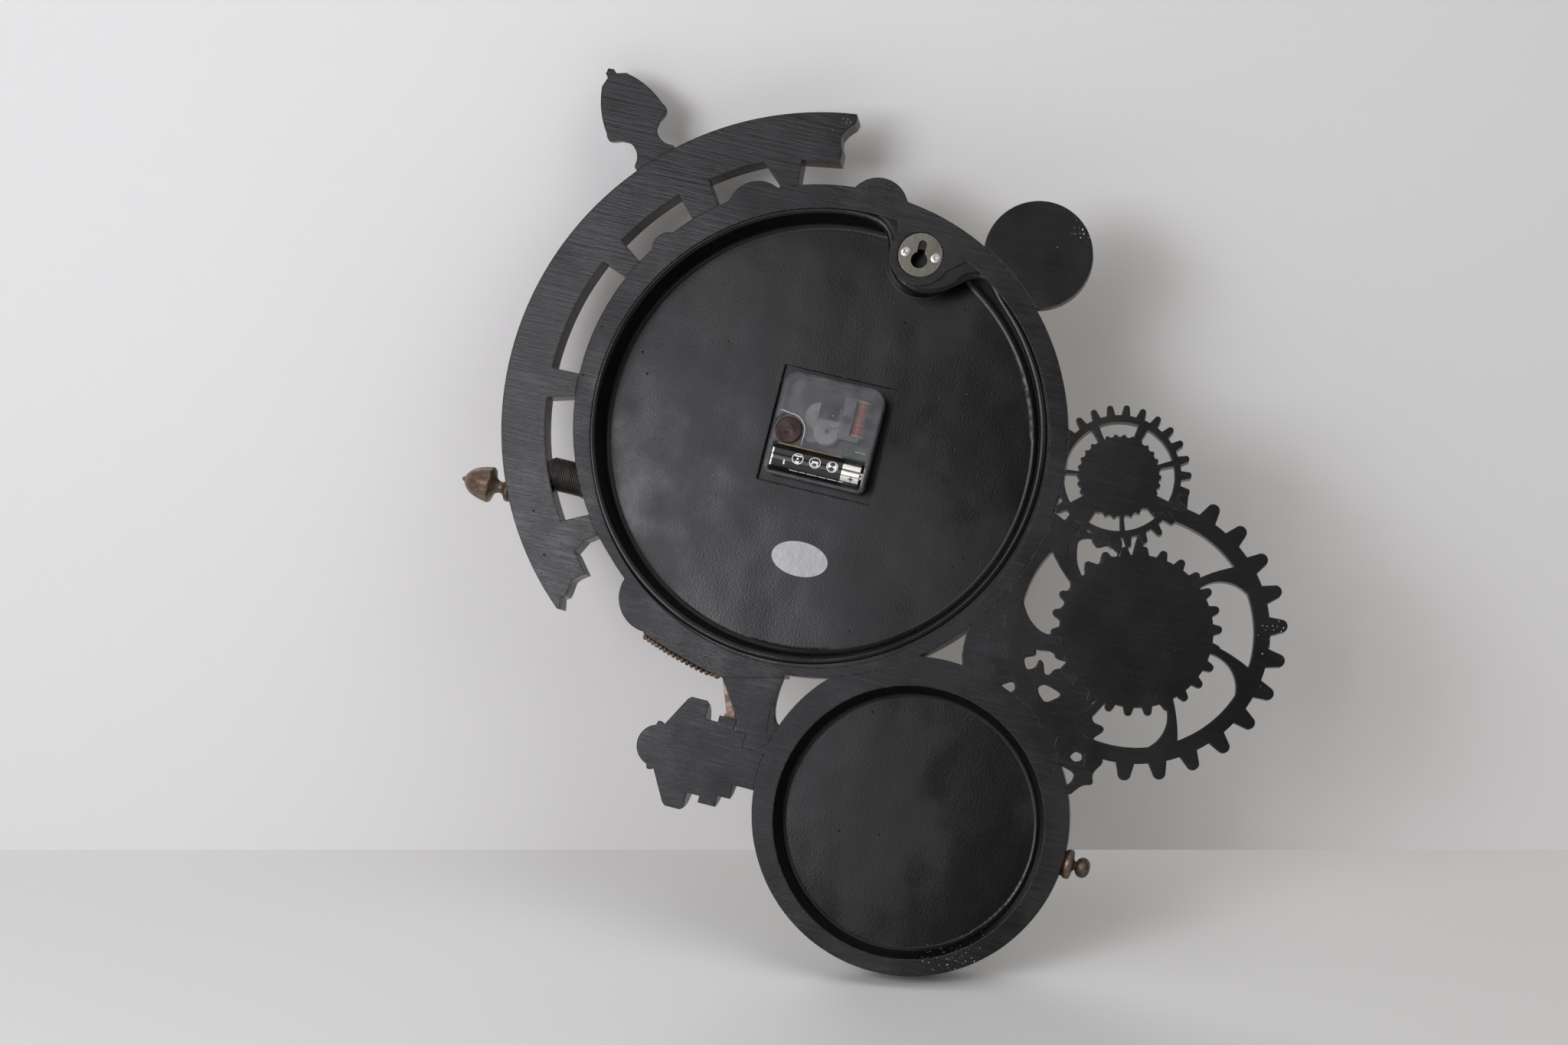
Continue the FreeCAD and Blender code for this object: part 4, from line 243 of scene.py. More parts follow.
def black_casting(name, hollow=None, hollow_radius=0.0, chip_and_glint_place=(0.0, 1.0, 0.0), chip_and_glint_reach=0.02,
                  sheen=0.0, waves=1.0, satin=0.035, sand=0.85):
    """Black paint on resin: sanded at the back, bronze on the walls that face outwards."""
    made, graph, shader = material(name)
    place = graph.place()
    depth = graph.axis(place, "Y")
    facing = graph.axis(graph.face_normal(), "Y")
    wear = graph.use(WEAR, Radius=0.0011)
    clouds = graph.use(CLOUDS, Scale=16.0)["Mask"]
    patches = graph.use(CLOUDS, Scale=70.0, Low=0.4, High=0.72)["Mask"]
    back = graph.times(graph.ramp(depth, -0.0006, -0.0002), graph.ramp(facing, 0.7, 0.95))
    rubbed = graph.times(back, graph.use(SANDING)["Mask"])
    base = graph.blend(graph.times(clouds, 0.8), BLACK, CLOUD_BLACK)
    base = graph.blend(graph.times(rubbed, sand), base, SANDED)
    outer = graph.ramp(depth, -0.0035, -0.0095)
    if hollow is not None:
        away = graph.distance(graph.stretched(place, (1.0, 0.0, 1.0)), hollow)
        outer = graph.times(outer, graph.math("GREATER_THAN", away, hollow_radius))
    base = graph.blend(graph.times(outer, graph.ramp(patches, 0.0, 1.0, 0.45, 0.95)), base, BRONZE_DARK)
    front = graph.ramp(facing, -0.5, -0.9)
    front_tone = graph.blend(graph.ramp(patches, 0.2, 1.0, 0.1, 0.8), BRONZE_DARK, BRONZE)
    base = graph.blend(front, base, front_tone)
    bronze = graph.math("MAXIMUM", outer, front)
    edge_tone = graph.blend(bronze, WORN_BLACK, BRONZE_BRIGHT)
    base = graph.blend(graph.times(wear["Mask"], 0.6), base, edge_tone)
    # White flecks near one place: bare chips, and painted glints on the large gear's teeth.
    chips_and_glints = graph.use(CHIPS_AND_GLINTS, Centre=chip_and_glint_place, Reach=chip_and_glint_reach)["Mask"]
    broad = graph.use(CLOUDS, Scale=9.0, Low=0.38, High=0.62)["Mask"]
    gloss = 0.305 - sheen
    rough = graph.plus(graph.ramp(broad, 0.0, 1.0, gloss - satin, gloss + satin), graph.times(back, 0.05))
    height = graph.plus(graph.use(CASTING, Waves=waves)["Height"], graph.times(rubbed, 0.14 * sand))
    graph.fill(shader, Base_Color=graph.blend(chips_and_glints, base, BARE_AND_GLINT), Roughness=rough,
               Specular_IOR_Level=0.30, Metallic=graph.times(bronze, 0.55),
               Normal=graph.bumped(height, 0.6, 0.0009, Normal=wear["Round"]))
    return made


def bronze_casting(name, dark=0.5, radius=0.0010):
    """Bronze paint rubbed bright on its edges and darker in uneven patches."""
    made, graph, shader = material(name)
    wear = graph.use(WEAR, Radius=radius, Grain=340.0)
    clouds = graph.use(CLOUDS, Scale=60.0)["Mask"]
    fine = graph.use(CLOUDS, Scale=420.0, Low=0.3, High=0.75)["Mask"]
    share = graph.times(graph.plus(clouds, fine), 0.5)
    base = graph.blend(graph.ramp(share, dark - 0.4, dark + 0.4), BRONZE_DARK, BRONZE)
    height = graph.use(CASTING, Waves=0.5)["Height"]
    graph.fill(shader, Base_Color=graph.blend(graph.times(wear["Mask"], 0.85), base, BRONZE_BRIGHT),
               Metallic=graph.ramp(fine, 0.0, 1.0, 0.55, 0.85),
               Roughness=graph.ramp(clouds, 0.0, 1.0, 0.48, 0.34),
               Normal=graph.bumped(height, 0.45, 0.0005, Normal=wear["Round"]))
    return made


def plain_finish(name, base, second, metallic, rough, scale=300.0, depth=0.0001, radius=0.0003,
                 wear_tone=None, coat=0.0):
    """A small part's finish: two tones by fine noise, softened edges and a light bump."""
    made, graph, shader = material(name)
    wear = graph.use(WEAR, Radius=radius, Grain=scale)
    fine = graph.use(CLOUDS, Scale=scale)["Mask"]
    slow = graph.use(CLOUDS, Scale=scale / 12)["Mask"]
    tone = graph.blend(graph.times(graph.plus(fine, slow), 0.5), base, second)
    if wear_tone:
        tone = graph.blend(graph.times(wear["Mask"], 0.7), tone, wear_tone)
    graph.fill(shader, Base_Color=tone, Metallic=metallic, Coat_Weight=coat,
               Roughness=graph.ramp(slow, 0.0, 1.0, rough * 0.85, rough * 1.2),
               Normal=graph.bumped(fine, 0.35, depth, Normal=wear["Round"]))
    return made


def brushed(name, base, second, rough, stretch, grain=0.25):
    """Metal brushed along one way."""
    made, graph, shader = material(name)
    wear = graph.use(WEAR, Radius=0.0003, Grain=500.0)
    lines = graph.noise(graph.stretched(graph.place(), stretch), 1.0, 4.0, 0.65)
    slow = graph.use(CLOUDS, Scale=120.0)["Mask"]
    graph.fill(shader, Base_Color=graph.blend(graph.ramp(lines, 0.3, 0.7), base, second), Metallic=1.0,
               Roughness=graph.ramp(slow, 0.0, 1.0, rough * 0.8, rough * 1.3),
               Normal=graph.bumped(lines, grain, 0.00005, Normal=wear["Round"]))
    return made


def aged_dial(name, centre, radius):
    """Cream paint that is browner towards its rim and in old stains."""
    made, graph, shader = material(name)
    flat = graph.stretched(graph.place(), (1.0, 0.0, 1.0))
    rim = graph.ramp(graph.math("DIVIDE", graph.distance(flat, centre), radius), 0.45, 1.0)
    stains = graph.use(CLOUDS, Scale=28.0, Low=0.45, High=0.75)["Mask"]
    specks = graph.use(CLOUDS, Scale=600.0, Low=0.62, High=0.80)["Mask"]
    tone = graph.blend(rim, (0.72, 0.62, 0.43), (0.50, 0.36, 0.20))
    tone = graph.blend(graph.times(stains, 0.45), tone, (0.42, 0.28, 0.14))
    tone = graph.blend(graph.times(specks, 0.5), tone, (0.24, 0.15, 0.08))
    graph.fill(shader, Base_Color=tone, Roughness=graph.ramp(stains, 0.0, 1.0, 0.42, 0.62),
               Normal=graph.bumped(specks, 0.2, 0.0001))
    return made


def wound_wire(name):
    """Enamelled copper wire in close turns round an upright spool."""
    made, graph, shader = material(name)
    place = graph.place()
    turns = graph.math("SINE", graph.times(graph.axis(place, "Z"), 21000.0))
    uneven = graph.noise(graph.stretched(place, (60.0, 60.0, 900.0)), 1.0, 3.0)
    tone = graph.blend(graph.ramp(uneven, 0.3, 0.7), (0.50, 0.13, 0.05), (0.80, 0.27, 0.12))
    graph.fill(shader, Base_Color=tone, Metallic=0.3, Roughness=0.42,
               Normal=graph.bumped(turns, 0.4, 0.00004))
    return made


def case_plastic(name):
    """Black moulded case; its inner floor is painted grey, a painted haze for the light the smoky cover
    scatters.
    """
    made, graph, shader = material(name)
    wear = graph.use(WEAR, Radius=0.0005, Grain=900.0)
    fine = graph.use(CLOUDS, Scale=900.0)["Mask"]
    # Painted haze: the inner floor facing the cover is painted grey instead of black.
    inner = graph.times(graph.ramp(graph.axis(graph.place(), "Y"), -0.0125, -0.0135),
                        graph.ramp(graph.axis(graph.face_normal(), "Y"), 0.8, 0.95))
    tone = graph.blend(fine, (0.006, 0.006, 0.0065), (0.012, 0.012, 0.013))
    graph.fill(shader, Base_Color=graph.blend(inner, tone, (0.10, 0.10, 0.105)), Specular_IOR_Level=0.3,
               Roughness=graph.ramp(fine, 0.0, 1.0, 0.28, 0.36),
               Normal=graph.bumped(fine, 0.3, 0.0001, Normal=wear["Round"]))
    return made


def smoked_cover(name):
    """Smoky moulded plastic with a finely textured face."""
    made, graph, shader = material(name)
    wear = graph.use(WEAR, Radius=0.0006, Grain=400.0)
    grain = graph.noise(graph.place(), 2600.0, 2.0)
    haze = graph.use(CLOUDS, Scale=90.0)["Mask"]
    tone = graph.blend(haze, (0.070, 0.070, 0.080), (0.115, 0.115, 0.125))
    graph.fill(shader, Base_Color=graph.blend(wear["Mask"], tone, (0.4, 0.4, 0.41)),
               Alpha=graph.ramp(haze, 0.0, 1.0, 0.34, 0.44),
               Roughness=graph.ramp(grain, 0.3, 0.7, 0.26, 0.36),
               Normal=graph.bumped(grain, 0.3, 0.00008, Normal=wear["Round"]))
    return made


MATERIALS = {
    "main_housing": black_casting("housing_black", HOLLOW, 0.1262, waves=0.8, satin=0.08),
    "outer_arc_band": black_casting("band_black", chip_and_glint_place=(0.0265, 0.0, 0.168),
                                    chip_and_glint_reach=0.017, sheen=0.04),
    "top_finial": black_casting("finial_black", chip_and_glint_place=(0.154, 0.0, 0.171), chip_and_glint_reach=0.012),
    "lower_housing": black_casting("lower_black", LOWER_HOLLOW, 0.0745, waves=0.7, satin=0.08,
                                   chip_and_glint_place=(-0.137, 0.0, -0.261), chip_and_glint_reach=0.028),
    "valve_arm": black_casting("arm_black"),
    "wedge_plate": black_casting("wedge_black"),
    "upper_roundel": black_casting("roundel_black", chip_and_glint_place=(-0.111, 0.0, 0.137),
                                   chip_and_glint_reach=0.023, sheen=0.02, sand=0.25),
    "small_gear": black_casting("small_gear_black", sheen=0.03, sand=0.5),
    # The white flecks on this gear's teeth are painted glints.
    "large_gear": black_casting("large_gear_black", chip_and_glint_place=(-0.262, 0.0, -0.050),
                                chip_and_glint_reach=0.03, sheen=0.03, sand=0.35),
    "gear_bridge": black_casting("bridge_black", sheen=0.02),
    "side_finial": bronze_casting("pale_bronze", 0.25, 0.0012),
    "ribbed_stud": plain_finish("stud_steel", (0.030, 0.026, 0.025), (0.06, 0.05, 0.045),
                                0.4, 0.38, 350.0, 0.0002, 0.0006, (0.16, 0.12, 0.10)),
    "hollow_lip": black_casting("lip_black", HOLLOW, 0.2, sheen=0.06),
}
FINISHES = {
    "dark_brass": brushed("strip_brass", (0.24, 0.15, 0.055), (0.36, 0.24, 0.10), 0.4,
                          (300.0, 2500.0, 2500.0)),
    "bronze_trim": bronze_casting("rubbed_bronze", 0.35),
    "dark_bronze": bronze_casting("dark_rubbed_bronze", 0.65, 0.0014),
    "dial_cream": aged_dial("dial_paint", (0.0, 0.0, 0.0), 0.104),
    "gauge_cream": aged_dial("gauge_paint", LOWER, 0.061),
    "dial_ink": plain_finish("raised_enamel", (0.012, 0.010, 0.009), (0.03, 0.024, 0.02),
                             0.0, 0.4, 500.0, wear_tone=(0.20, 0.13, 0.08)),
    "needle_black": plain_finish("needle_enamel", (0.012, 0.011, 0.011),
                                 (0.025, 0.022, 0.02), 0.2, 0.35, 400.0,
                                 wear_tone=(0.25, 0.18, 0.11)),
    "case_black": case_plastic("case_plastic"),
    "cover_smoke": smoked_cover("smoky_cover"),
    "gear_white": plain_finish("white_wheel_plastic", (0.78, 0.77, 0.73), (0.68, 0.67, 0.63),
                               0.0, 0.4, 700.0),
    "gear_grey": plain_finish("grey_wheel_plastic", (0.34, 0.35, 0.36), (0.42, 0.43, 0.44),
                              0.0, 0.38, 700.0),
    "knob_brown": plain_finish("knob_plastic", (0.028, 0.010, 0.009), (0.050, 0.017, 0.014),
                               0.0, 0.30, 500.0, wear_tone=(0.22, 0.14, 0.11)),
    "copper_wire": wound_wire("copper_winding"),
    "bobbin_plastic": plain_finish("bobbin_plastic", (0.70, 0.66, 0.55), (0.60, 0.56, 0.46),
                                   0.0, 0.45, 600.0),
    "stator_steel": brushed("stator_steel", (0.20, 0.20, 0.21), (0.3, 0.3, 0.31), 0.4,
                            (300.0, 300.0, 2600.0)),
    "rotor_magnet": plain_finish("magnet_sinter", (0.06, 0.06, 0.065), (0.10, 0.10, 0.105),
                                 0.7, 0.45, 800.0),
    "board_green": plain_finish("board_mask", (0.03, 0.12, 0.05), (0.05, 0.17, 0.07),
                                0.0, 0.35, 500.0),
    "tin_metal": brushed("tinned_can", (0.60, 0.60, 0.60), (0.8, 0.8, 0.8), 0.25,
                         (200.0, 2500.0, 2500.0)),
    "contact_steel": brushed("contact_nickel", (0.70, 0.66, 0.58), (0.85, 0.81, 0.74), 0.22,
                             (2500.0, 300.0, 300.0)),
    "battery_steel": brushed("bright_can", (0.72, 0.70, 0.66), (0.92, 0.90, 0.86), 0.13,
                             (6.0, 900.0, 900.0)),
    "battery_wrap": plain_finish("black_sleeve", (0.008, 0.0075, 0.0075), (0.014, 0.013, 0.013),
                                 0.0, 0.16, 60.0, 0.00003, 0.0003, coat=0.1),
    "brass_turned": brushed("turned_brass", (0.70, 0.48, 0.20), (0.86, 0.64, 0.32), 0.25,
                            (900.0, 900.0, 900.0)),
    "hand_black": plain_finish("hand_lacquer", (0.010, 0.009, 0.009), (0.022, 0.018, 0.016),
                               0.3, 0.3, 500.0, wear_tone=(0.25, 0.17, 0.10)),
    "second_red": plain_finish("red_lacquer", (0.32, 0.025, 0.016), (0.40, 0.04, 0.025),
                               0.1, 0.3, 500.0, wear_tone=(0.35, 0.20, 0.12)),
    "screw_zinc": brushed("screw_zinc", (0.42, 0.42, 0.415), (0.54, 0.54, 0.53), 0.42,
                          (900.0, 900.0, 900.0)),
    "hanger_nickel": brushed("hanger_nickel", (0.155, 0.147, 0.127), (0.19, 0.18, 0.16), 0.22,
                             (700.0, 60.0, 60.0), 0.04),
    "label_silver": plain_finish("bare_foil", (0.28, 0.28, 0.29), (0.35, 0.35, 0.36),
                                 0.15, 0.40, 160.0, 0.00015),
}
for row in frame["record"]["subparts"]:
    finish = MATERIALS.get(row["node"], FINISHES.get(row["material_slot"]))
    slots = NODES[row["node"]].data.materials
    if len(slots):
        for index in range(len(slots)):
            slots[index] = finish
    else:
        slots.append(finish)


# Building pieces
def piece(name, mesh_data, body, finish, smooth=True, replaces=()):
    mesh = bpy.data.meshes.new(name)
    mesh_data.normal_update()
    mesh_data.to_mesh(mesh)
    mesh_data.free()
    if smooth:
        for face in mesh.polygons:
            face.use_smooth = True
    made = bpy.data.objects.new(name, mesh)
    bpy.context.scene.collection.objects.link(made)
    mesh.materials.append(finish)
    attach(made, body)
    if replaces:
        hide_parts(*replaces)
    return made


def fill_ring(mesh, rings, closed=True):
    """Join rings of vertices that follow each other with faces."""
    for first, second in zip(rings, rings[1:]):
        count = len(first)
        for index in range(count if closed else count - 1):
            following = (index + 1) % count
            mesh.faces.new((first[index], first[following], second[following], second[index]))


def turned(mesh, profile, start, axis, across, steps=64, unit=MM):
    """Spin (distance, radius) places round an axis through start, and close the ends."""
    before = set(mesh.verts)
    row = [mesh.verts.new(start + (axis * distance + across * radius) * unit)
           for distance, radius in profile]
    edges = [mesh.edges.new(pair) for pair in zip(row, row[1:])]
    bmesh.ops.spin(mesh, geom=row + edges, cent=start, axis=axis, angle=math.tau, steps=steps,
                   use_merge=True)
    bmesh.ops.remove_doubles(mesh, verts=[vert for vert in mesh.verts if vert not in before], dist=1e-7)
    bmesh.ops.holes_fill(mesh, edges=[edge for edge in mesh.edges if edge.is_boundary])
    bmesh.ops.recalc_face_normals(mesh, faces=mesh.faces)
    return [vert for vert in mesh.verts if vert not in before]


def relief_disc(mesh, centre, radius, rings, steps, height, edge_depth):
    """A round face towards +Y whose height is a function of place, with a side wall."""
    profile = [(-edge_depth, 0.0), (-edge_depth, radius)]
    profile += [(0.0, radius * (ring / rings) ** 0.8) for ring in range(rings, -1, -1)]
    for vert in turned(mesh, profile, centre, BACKWARD, SIDEWAYS, steps, 1.0):
        if vert.co.y > centre.y - edge_depth / 2:
            vert.co.y += height(vert.co.x - centre.x, vert.co.z - centre.z)


def sweep(mesh, path, section, closed=False, end_rise=0.2):
    """Draw a section of (sideways, backward) places along a path; open ends run out low."""
    rings = []
    for index, point in enumerate(path):
        end = not closed and index in (0, len(path) - 1)
        before = path[index - 1] if closed or index else point
        after = point if end and index else path[(index + 1) % len(path)]
        across = BACKWARD.cross(after - before).normalized()
        rise = end_rise if end else 1.0
        rings.append([mesh.verts.new(point + across * side + BACKWARD * out * rise)
                      for side, out in section])
    if closed:
        rings.append(rings[0])
    else:
        mesh.faces.new(rings[0])
        mesh.faces.new(rings[-1][::-1])
    fill_ring(mesh, rings)
    bmesh.ops.recalc_face_normals(mesh, faces=mesh.faces)


def middle_of(name):
    low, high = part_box(name)
    return (Vector(low) + Vector(high)) / 2


def arc_points(centre, radius, start, end, count):
    points = []
    for index in range(count):
        angle = math.radians(start + (end - start) * index / (count - 1))
        points.append((centre[0] + radius * math.cos(angle), centre[1] + radius * math.sin(angle)))
    return points


# Casting web that joins the rings to the gears, with its small openings
WEB = [(-126, -14), (-145, -23), (-171, -19), (-170, -34), (-157, -48), (-158, -81), (-176, -110),
       (-177, -119), (-184, -120), (-184.1, -123), (-180.2, -126.7), (-180.3, -128.6), (-188.8, -137.5),
       (-183.6, -145.3), (-185.7, -151.2), (-179.7, -152.8), (-173.4, -161.5), (-158, -142),
       (-137.4, -122), (-113.5, -117), (-101.8, -106), (-101.6, -76), (-115.6, -52.6)]
WEB_OPENINGS = [
    [(-137.9, -31.8), (-150.8, -52.5), (-144.8, -57.3), (-149, -62.1), (-144.1, -67.9), (-149.4, -72.5),
     (-145.1, -80.1), (-138.3, -78.5), (-131.8, -73.5), (-126.6, -65.6), (-127, -56.4), (-129.5, -47.9),
     (-133.2, -39.1)],
    [(-134.4, -85.7), (-149.1, -88.3), (-150.5, -91.2), (-157, -91.5), (-156.5, -94.9), (-151.2, -96.9),
     (-149.7, -100.5), (-146.9, -100.5), (-145, -94.5), (-142.5, -93.4), (-141.5, -98.6),
     (-137.2, -100.7), (-134, -94.6), (-140.7, -92), (-138.6, -86.9)],
    [(-123.7, -113.2), (-132, -107.8), (-134.1, -112.2), (-130, -115.6)],
    [(-145.1, -108.2), (-148.1, -105.5), (-159.3, -108.8), (-151.2, -115.5), (-146.7, -111.7)],
    [(-147.2, -26.8), (-154.3, -24.2), (-157.5, -29.3), (-163.8, -25.8), (-169.5, -29), (-169.1, -31.5),
     (-161.2, -31), (-161.4, -37.5), (-156.7, -36.7), (-153.6, -40.1), (-155.3, -44.2), (-154.1, -45.6),
     (-150.4, -40.2), (-148.6, -35.4)],
    [(-170, -139.6), (-172.4, -136.2), (-176.2, -137), (-176.6, -140.3), (-173.1, -141.7)],
    [(-164.6, -144.9), (-174.9, -147.5), (-173.9, -152.9), (-170.1, -156.1)],
]


def softened(outline, passes=2):
    """Round the corners of a closed outline by cutting them off again and again."""
    for _ in range(passes):
        finer = []
        for index, (x, z) in enumerate(outline):
            far_x, far_z = outline[(index + 1) % len(outline)]
            finer.append((x * 0.8 + far_x * 0.2, z * 0.8 + far_z * 0.2))
            finer.append((x * 0.2 + far_x * 0.8, z * 0.2 + far_z * 0.8))
        outline = finer
    return outline


def cast_plate(outlines, back, thickness, bevel):
    """A flat casting with openings and rounded edges, as a curve made into a mesh."""
    curve = bpy.data.curves.new("cast_plate", "CURVE")
    curve.dimensions = "2D"
    curve.fill_mode = "BOTH"
    curve.extrude = thickness / 2 - bevel
    curve.bevel_depth = bevel
    curve.offset = -bevel
    curve.bevel_resolution = 2
    for outline in outlines:
        line = curve.splines.new("POLY")
        line.points.add(len(outline) - 1)
        for point, (x, z) in zip(line.points, outline):
            point.co = (x * MM, z * MM, 0.0, 1.0)
        line.use_cyclic_u = True
    holder = bpy.data.objects.new("cast_plate", curve)
    bpy.context.scene.collection.objects.link(holder)
    bpy.context.view_layer.update()
    shaped = holder.evaluated_get(bpy.context.evaluated_depsgraph_get()).to_mesh()
    mesh = bmesh.new()
    mesh.from_mesh(shaped)
    holder.evaluated_get(bpy.context.evaluated_depsgraph_get()).to_mesh_clear()
    bpy.data.objects.remove(holder)
    bpy.data.curves.remove(curve)
    for vert in mesh.verts:
        x, z, y = vert.co
        vert.co = Vector((x, back - thickness / 2 - y, z))
    bmesh.ops.remove_doubles(mesh, verts=mesh.verts, dist=1e-6)
    bmesh.ops.recalc_face_normals(mesh, faces=mesh.faces)
    return mesh


def make_web():
    outlines = [softened(WEB)] + [softened(opening) for opening in WEB_OPENINGS]
    mesh = cast_plate(outlines, -0.04 * MM, 7.5 * MM, 0.35 * MM)
    return piece("gear_web", mesh, "clock", MATERIALS["gear_bridge"], smooth=False,
                 replaces=("gear_bridge",))


# Casting that runs from the wedge into the valve arm and the lower ring
WEDGE_FOOT = [(11, -152), (8.5, -163), (3, -171), (1.4, -181), (-9.3, -188), (-20.7, -176), (-26, -160),
              (-17.5, -163.2), (-13.2, -159.3), (-10.9, -151.5), (-11.2, -143), (2, -141)]


def make_wedge_foot():
    mesh = cast_plate([softened(WEDGE_FOOT)], -0.05 * MM, 7.0 * MM, 0.35 * MM)
    return piece("wedge_foot", mesh, "clock", MATERIALS["valve_arm"], smooth=False)


# Funnel: a slimmer cup that shows at the left of the wedge only
def make_funnel():
    mesh = bmesh.new()
    mesh.from_mesh(NODES["funnel"].data)
    bmesh.ops.remove_doubles(mesh, verts=mesh.verts, dist=1e-6)
    middle, shift, share = 1.0 * MM, 5.5 * MM, 0.80
    for vert in mesh.verts:
        vert.co.x = middle + shift + (vert.co.x - middle) * share
    return piece("slim_funnel", mesh, "clock", FINISHES["bronze_trim"], smooth=False,
                 replaces=("funnel",))


# Rounded lip round the mouth of the big hollow, that bends in round the hanger's boss
BOSS_EDGE = [(4.1, 120.4), (-5.5, 117.6), (-12.0, 111.1), (-12.9, 100.3), (-16.8, 90.1), (-26.1, 84.3),
             (-37.9, 84.4), (-48.3, 90.3), (-54.9, 98.8), (-64.1, 102.2), (-73.3, 99.0)]
LIP_RADIUS, SEAT_RADIUS = 123.0, 14.2
LIP_LEAVES_BOSS, LIP_MEETS_BOSS = (-83.3, 107.0), (14.8, 120.2)


def lip_path():
    """Closed row of places along the mouth: most of a circle, then the boss's edge."""
    centre = (HOLLOW.x / MM, HOLLOW.z / MM)
    first, last = (math.degrees(math.atan2(z - centre[1], x - centre[0]))
                   for x, z in (LIP_LEAVES_BOSS, LIP_MEETS_BOSS))
    flat = arc_points(centre, LIP_RADIUS, first, last + 360.0, 161) + softened(BOSS_EDGE, 1)[:-2]
    path = [Vector((x * MM, 0.0, z * MM)) for x, z in flat]
    for _ in range(3):
        path = [(before + here * 2 + after) / 4
                for before, here, after in zip(path[-1:] + path, path, path[1:] + path[:1])]
    return path


def make_hollow_lip():
    depth, thickness, width, steps = -2.7 * MM, 1.9 * MM, 2.28 * MM, 12
    turns = [math.tau * step / steps for step in range(steps)]
    section = [(width * math.cos(turn), depth + thickness * math.sin(turn)) for turn in turns]
    mesh = bmesh.new()
    sweep(mesh, lip_path(), section, closed=True)
    return piece("hollow_lip", mesh, "clock", MATERIALS["hollow_lip"])


def make_boss_web():
    """Solid casting between the rim and the hanger's boss, with a seat cut for the plate."""
    outline = BOSS_EDGE + [(-66.0, 108.0), (-45.0, 118.0), (-20.0, 126.0), (0.0, 128.5)]
    seat = arc_points(middle_of("hanger_plate").xz / MM, SEAT_RADIUS, 0.0, 352.0, 45)
    mesh = cast_plate([softened(outline), seat], -0.9 * MM, 12.0 * MM, 0.7 * MM)
    return piece("boss_web", mesh, "clock", MATERIALS["main_housing"], smooth=False)


# Turned pieces along X: side finial, threaded stud and crown
FINIAL_PROFILE = [(0.05, 0.5), (0.4, 1.1), (1.1, 1.4), (1.7, 1.7), (2.4, 3.4), (3.6, 4.9), (5.4, 6.5),
                  (7.6, 7.7), (10.0, 8.6), (12.6, 9.3), (15.0, 9.8), (16.2, 10.0), (16.9, 9.9),
                  (17.3, 9.3), (17.7, 8.1), (18.6, 5.6), (19.8, 4.1), (21.4, 3.3), (22.9, 3.2),
                  (24.1, 3.7), (25.1, 5.0), (25.8, 6.4), (26.6, 6.9), (28.2, 6.9)]
FLUTES, FLUTES_FROM, FLUTES_TO = 9, 2.3 * MM, 17.0 * MM


def make_side_finial():
    low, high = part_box("side_finial")
    start = middle_of("side_finial")
    start.x = high[0]
    share = min(1.0, (high[2] - low[2]) / (20.1 * MM))
    profile = [(distance, radius * share) for distance, radius in FINIAL_PROFILE]
    mesh = bmesh.new()
    for vert in turned(mesh, profile, start, -SIDEWAYS, BACKWARD, FLUTES * 10):
        if FLUTES_FROM < start.x - vert.co.x < FLUTES_TO:
            away = vert.co - start
            ripple = 0.95 + 0.055 * abs(math.cos(FLUTES * math.atan2(away.z, away.y) / 2))
            vert.co.y, vert.co.z = start.y + away.y * ripple, start.z + away.z * ripple
    return piece("fluted_finial", mesh, "clock", MATERIALS["side_finial"],
                 replaces=("side_finial",))


def along_x(node):
    """The left end of a node's axis, its length and its radius in millimetres."""
    low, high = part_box(node)
    start = middle_of(node)
    start.x = low[0]
    return start, (high[0] - low[0]) / MM, min(high[2] - low[2], high[1] - low[1]) / 2 / MM


def make_threaded_stud():
    start, length, radius = along_x("ribbed_stud")
    collar, crest, root, pitch = radius * 0.99, radius * 0.945, radius * 0.86, 1.25
    profile = [(0.0, radius * 0.9), (0.3, collar), (2.2, collar), (2.5, radius * 0.9)]
    for number in range(int((length - 3.2) / pitch)):
        at = 2.7 + number * pitch
        profile += [(at, root), (at + pitch * 0.3, crest), (at + pitch * 0.55, crest),
                    (at + pitch * 0.85, root)]
    profile.append((length, root))
    mesh = bmesh.new()
    turned(mesh, profile, start, SIDEWAYS, BACKWARD)
    return piece("threaded_stud", mesh, "clock", MATERIALS["ribbed_stud"], smooth=False,
                 replaces=("ribbed_stud",))


def make_crown():
    """A ball on a short neck and a flange."""
    start, length, widest = along_x("crown_knob")
    ball = min(5.4, widest * 0.75)
    profile = []
    for step in range(15):
        angle = math.radians(4 + 156 * step / 14)
        profile.append((4.05 - 4.0 * math.cos(angle), ball * math.sin(angle) ** 0.8))
    profile += [(8.6, ball * 0.5), (9.1, ball * 0.62), (9.5, widest * 0.80), (10.0, widest * 0.93),
                (10.8, widest * 0.98), (12.2, widest * 0.99), (13.4, widest * 0.93),
                (13.9, widest * 0.86), (max(length, 14.4), widest * 0.82)]
    mesh = bmesh.new()
    turned(mesh, [row for row in profile if row[0] <= length], start, SIDEWAYS, BACKWARD)
    return piece("ball_crown", mesh, "clock", FINISHES["bronze_trim"],
                 replaces=("crown_knob",))


# Rope beads that stand out past the skirt's lower edge
ROPE_START, ROPE_PULL, ROPE_END = Vector((68.0, -132.1)), Vector((51.0, -138.85)), Vector((28.0, -143.4))
BEADS = 15


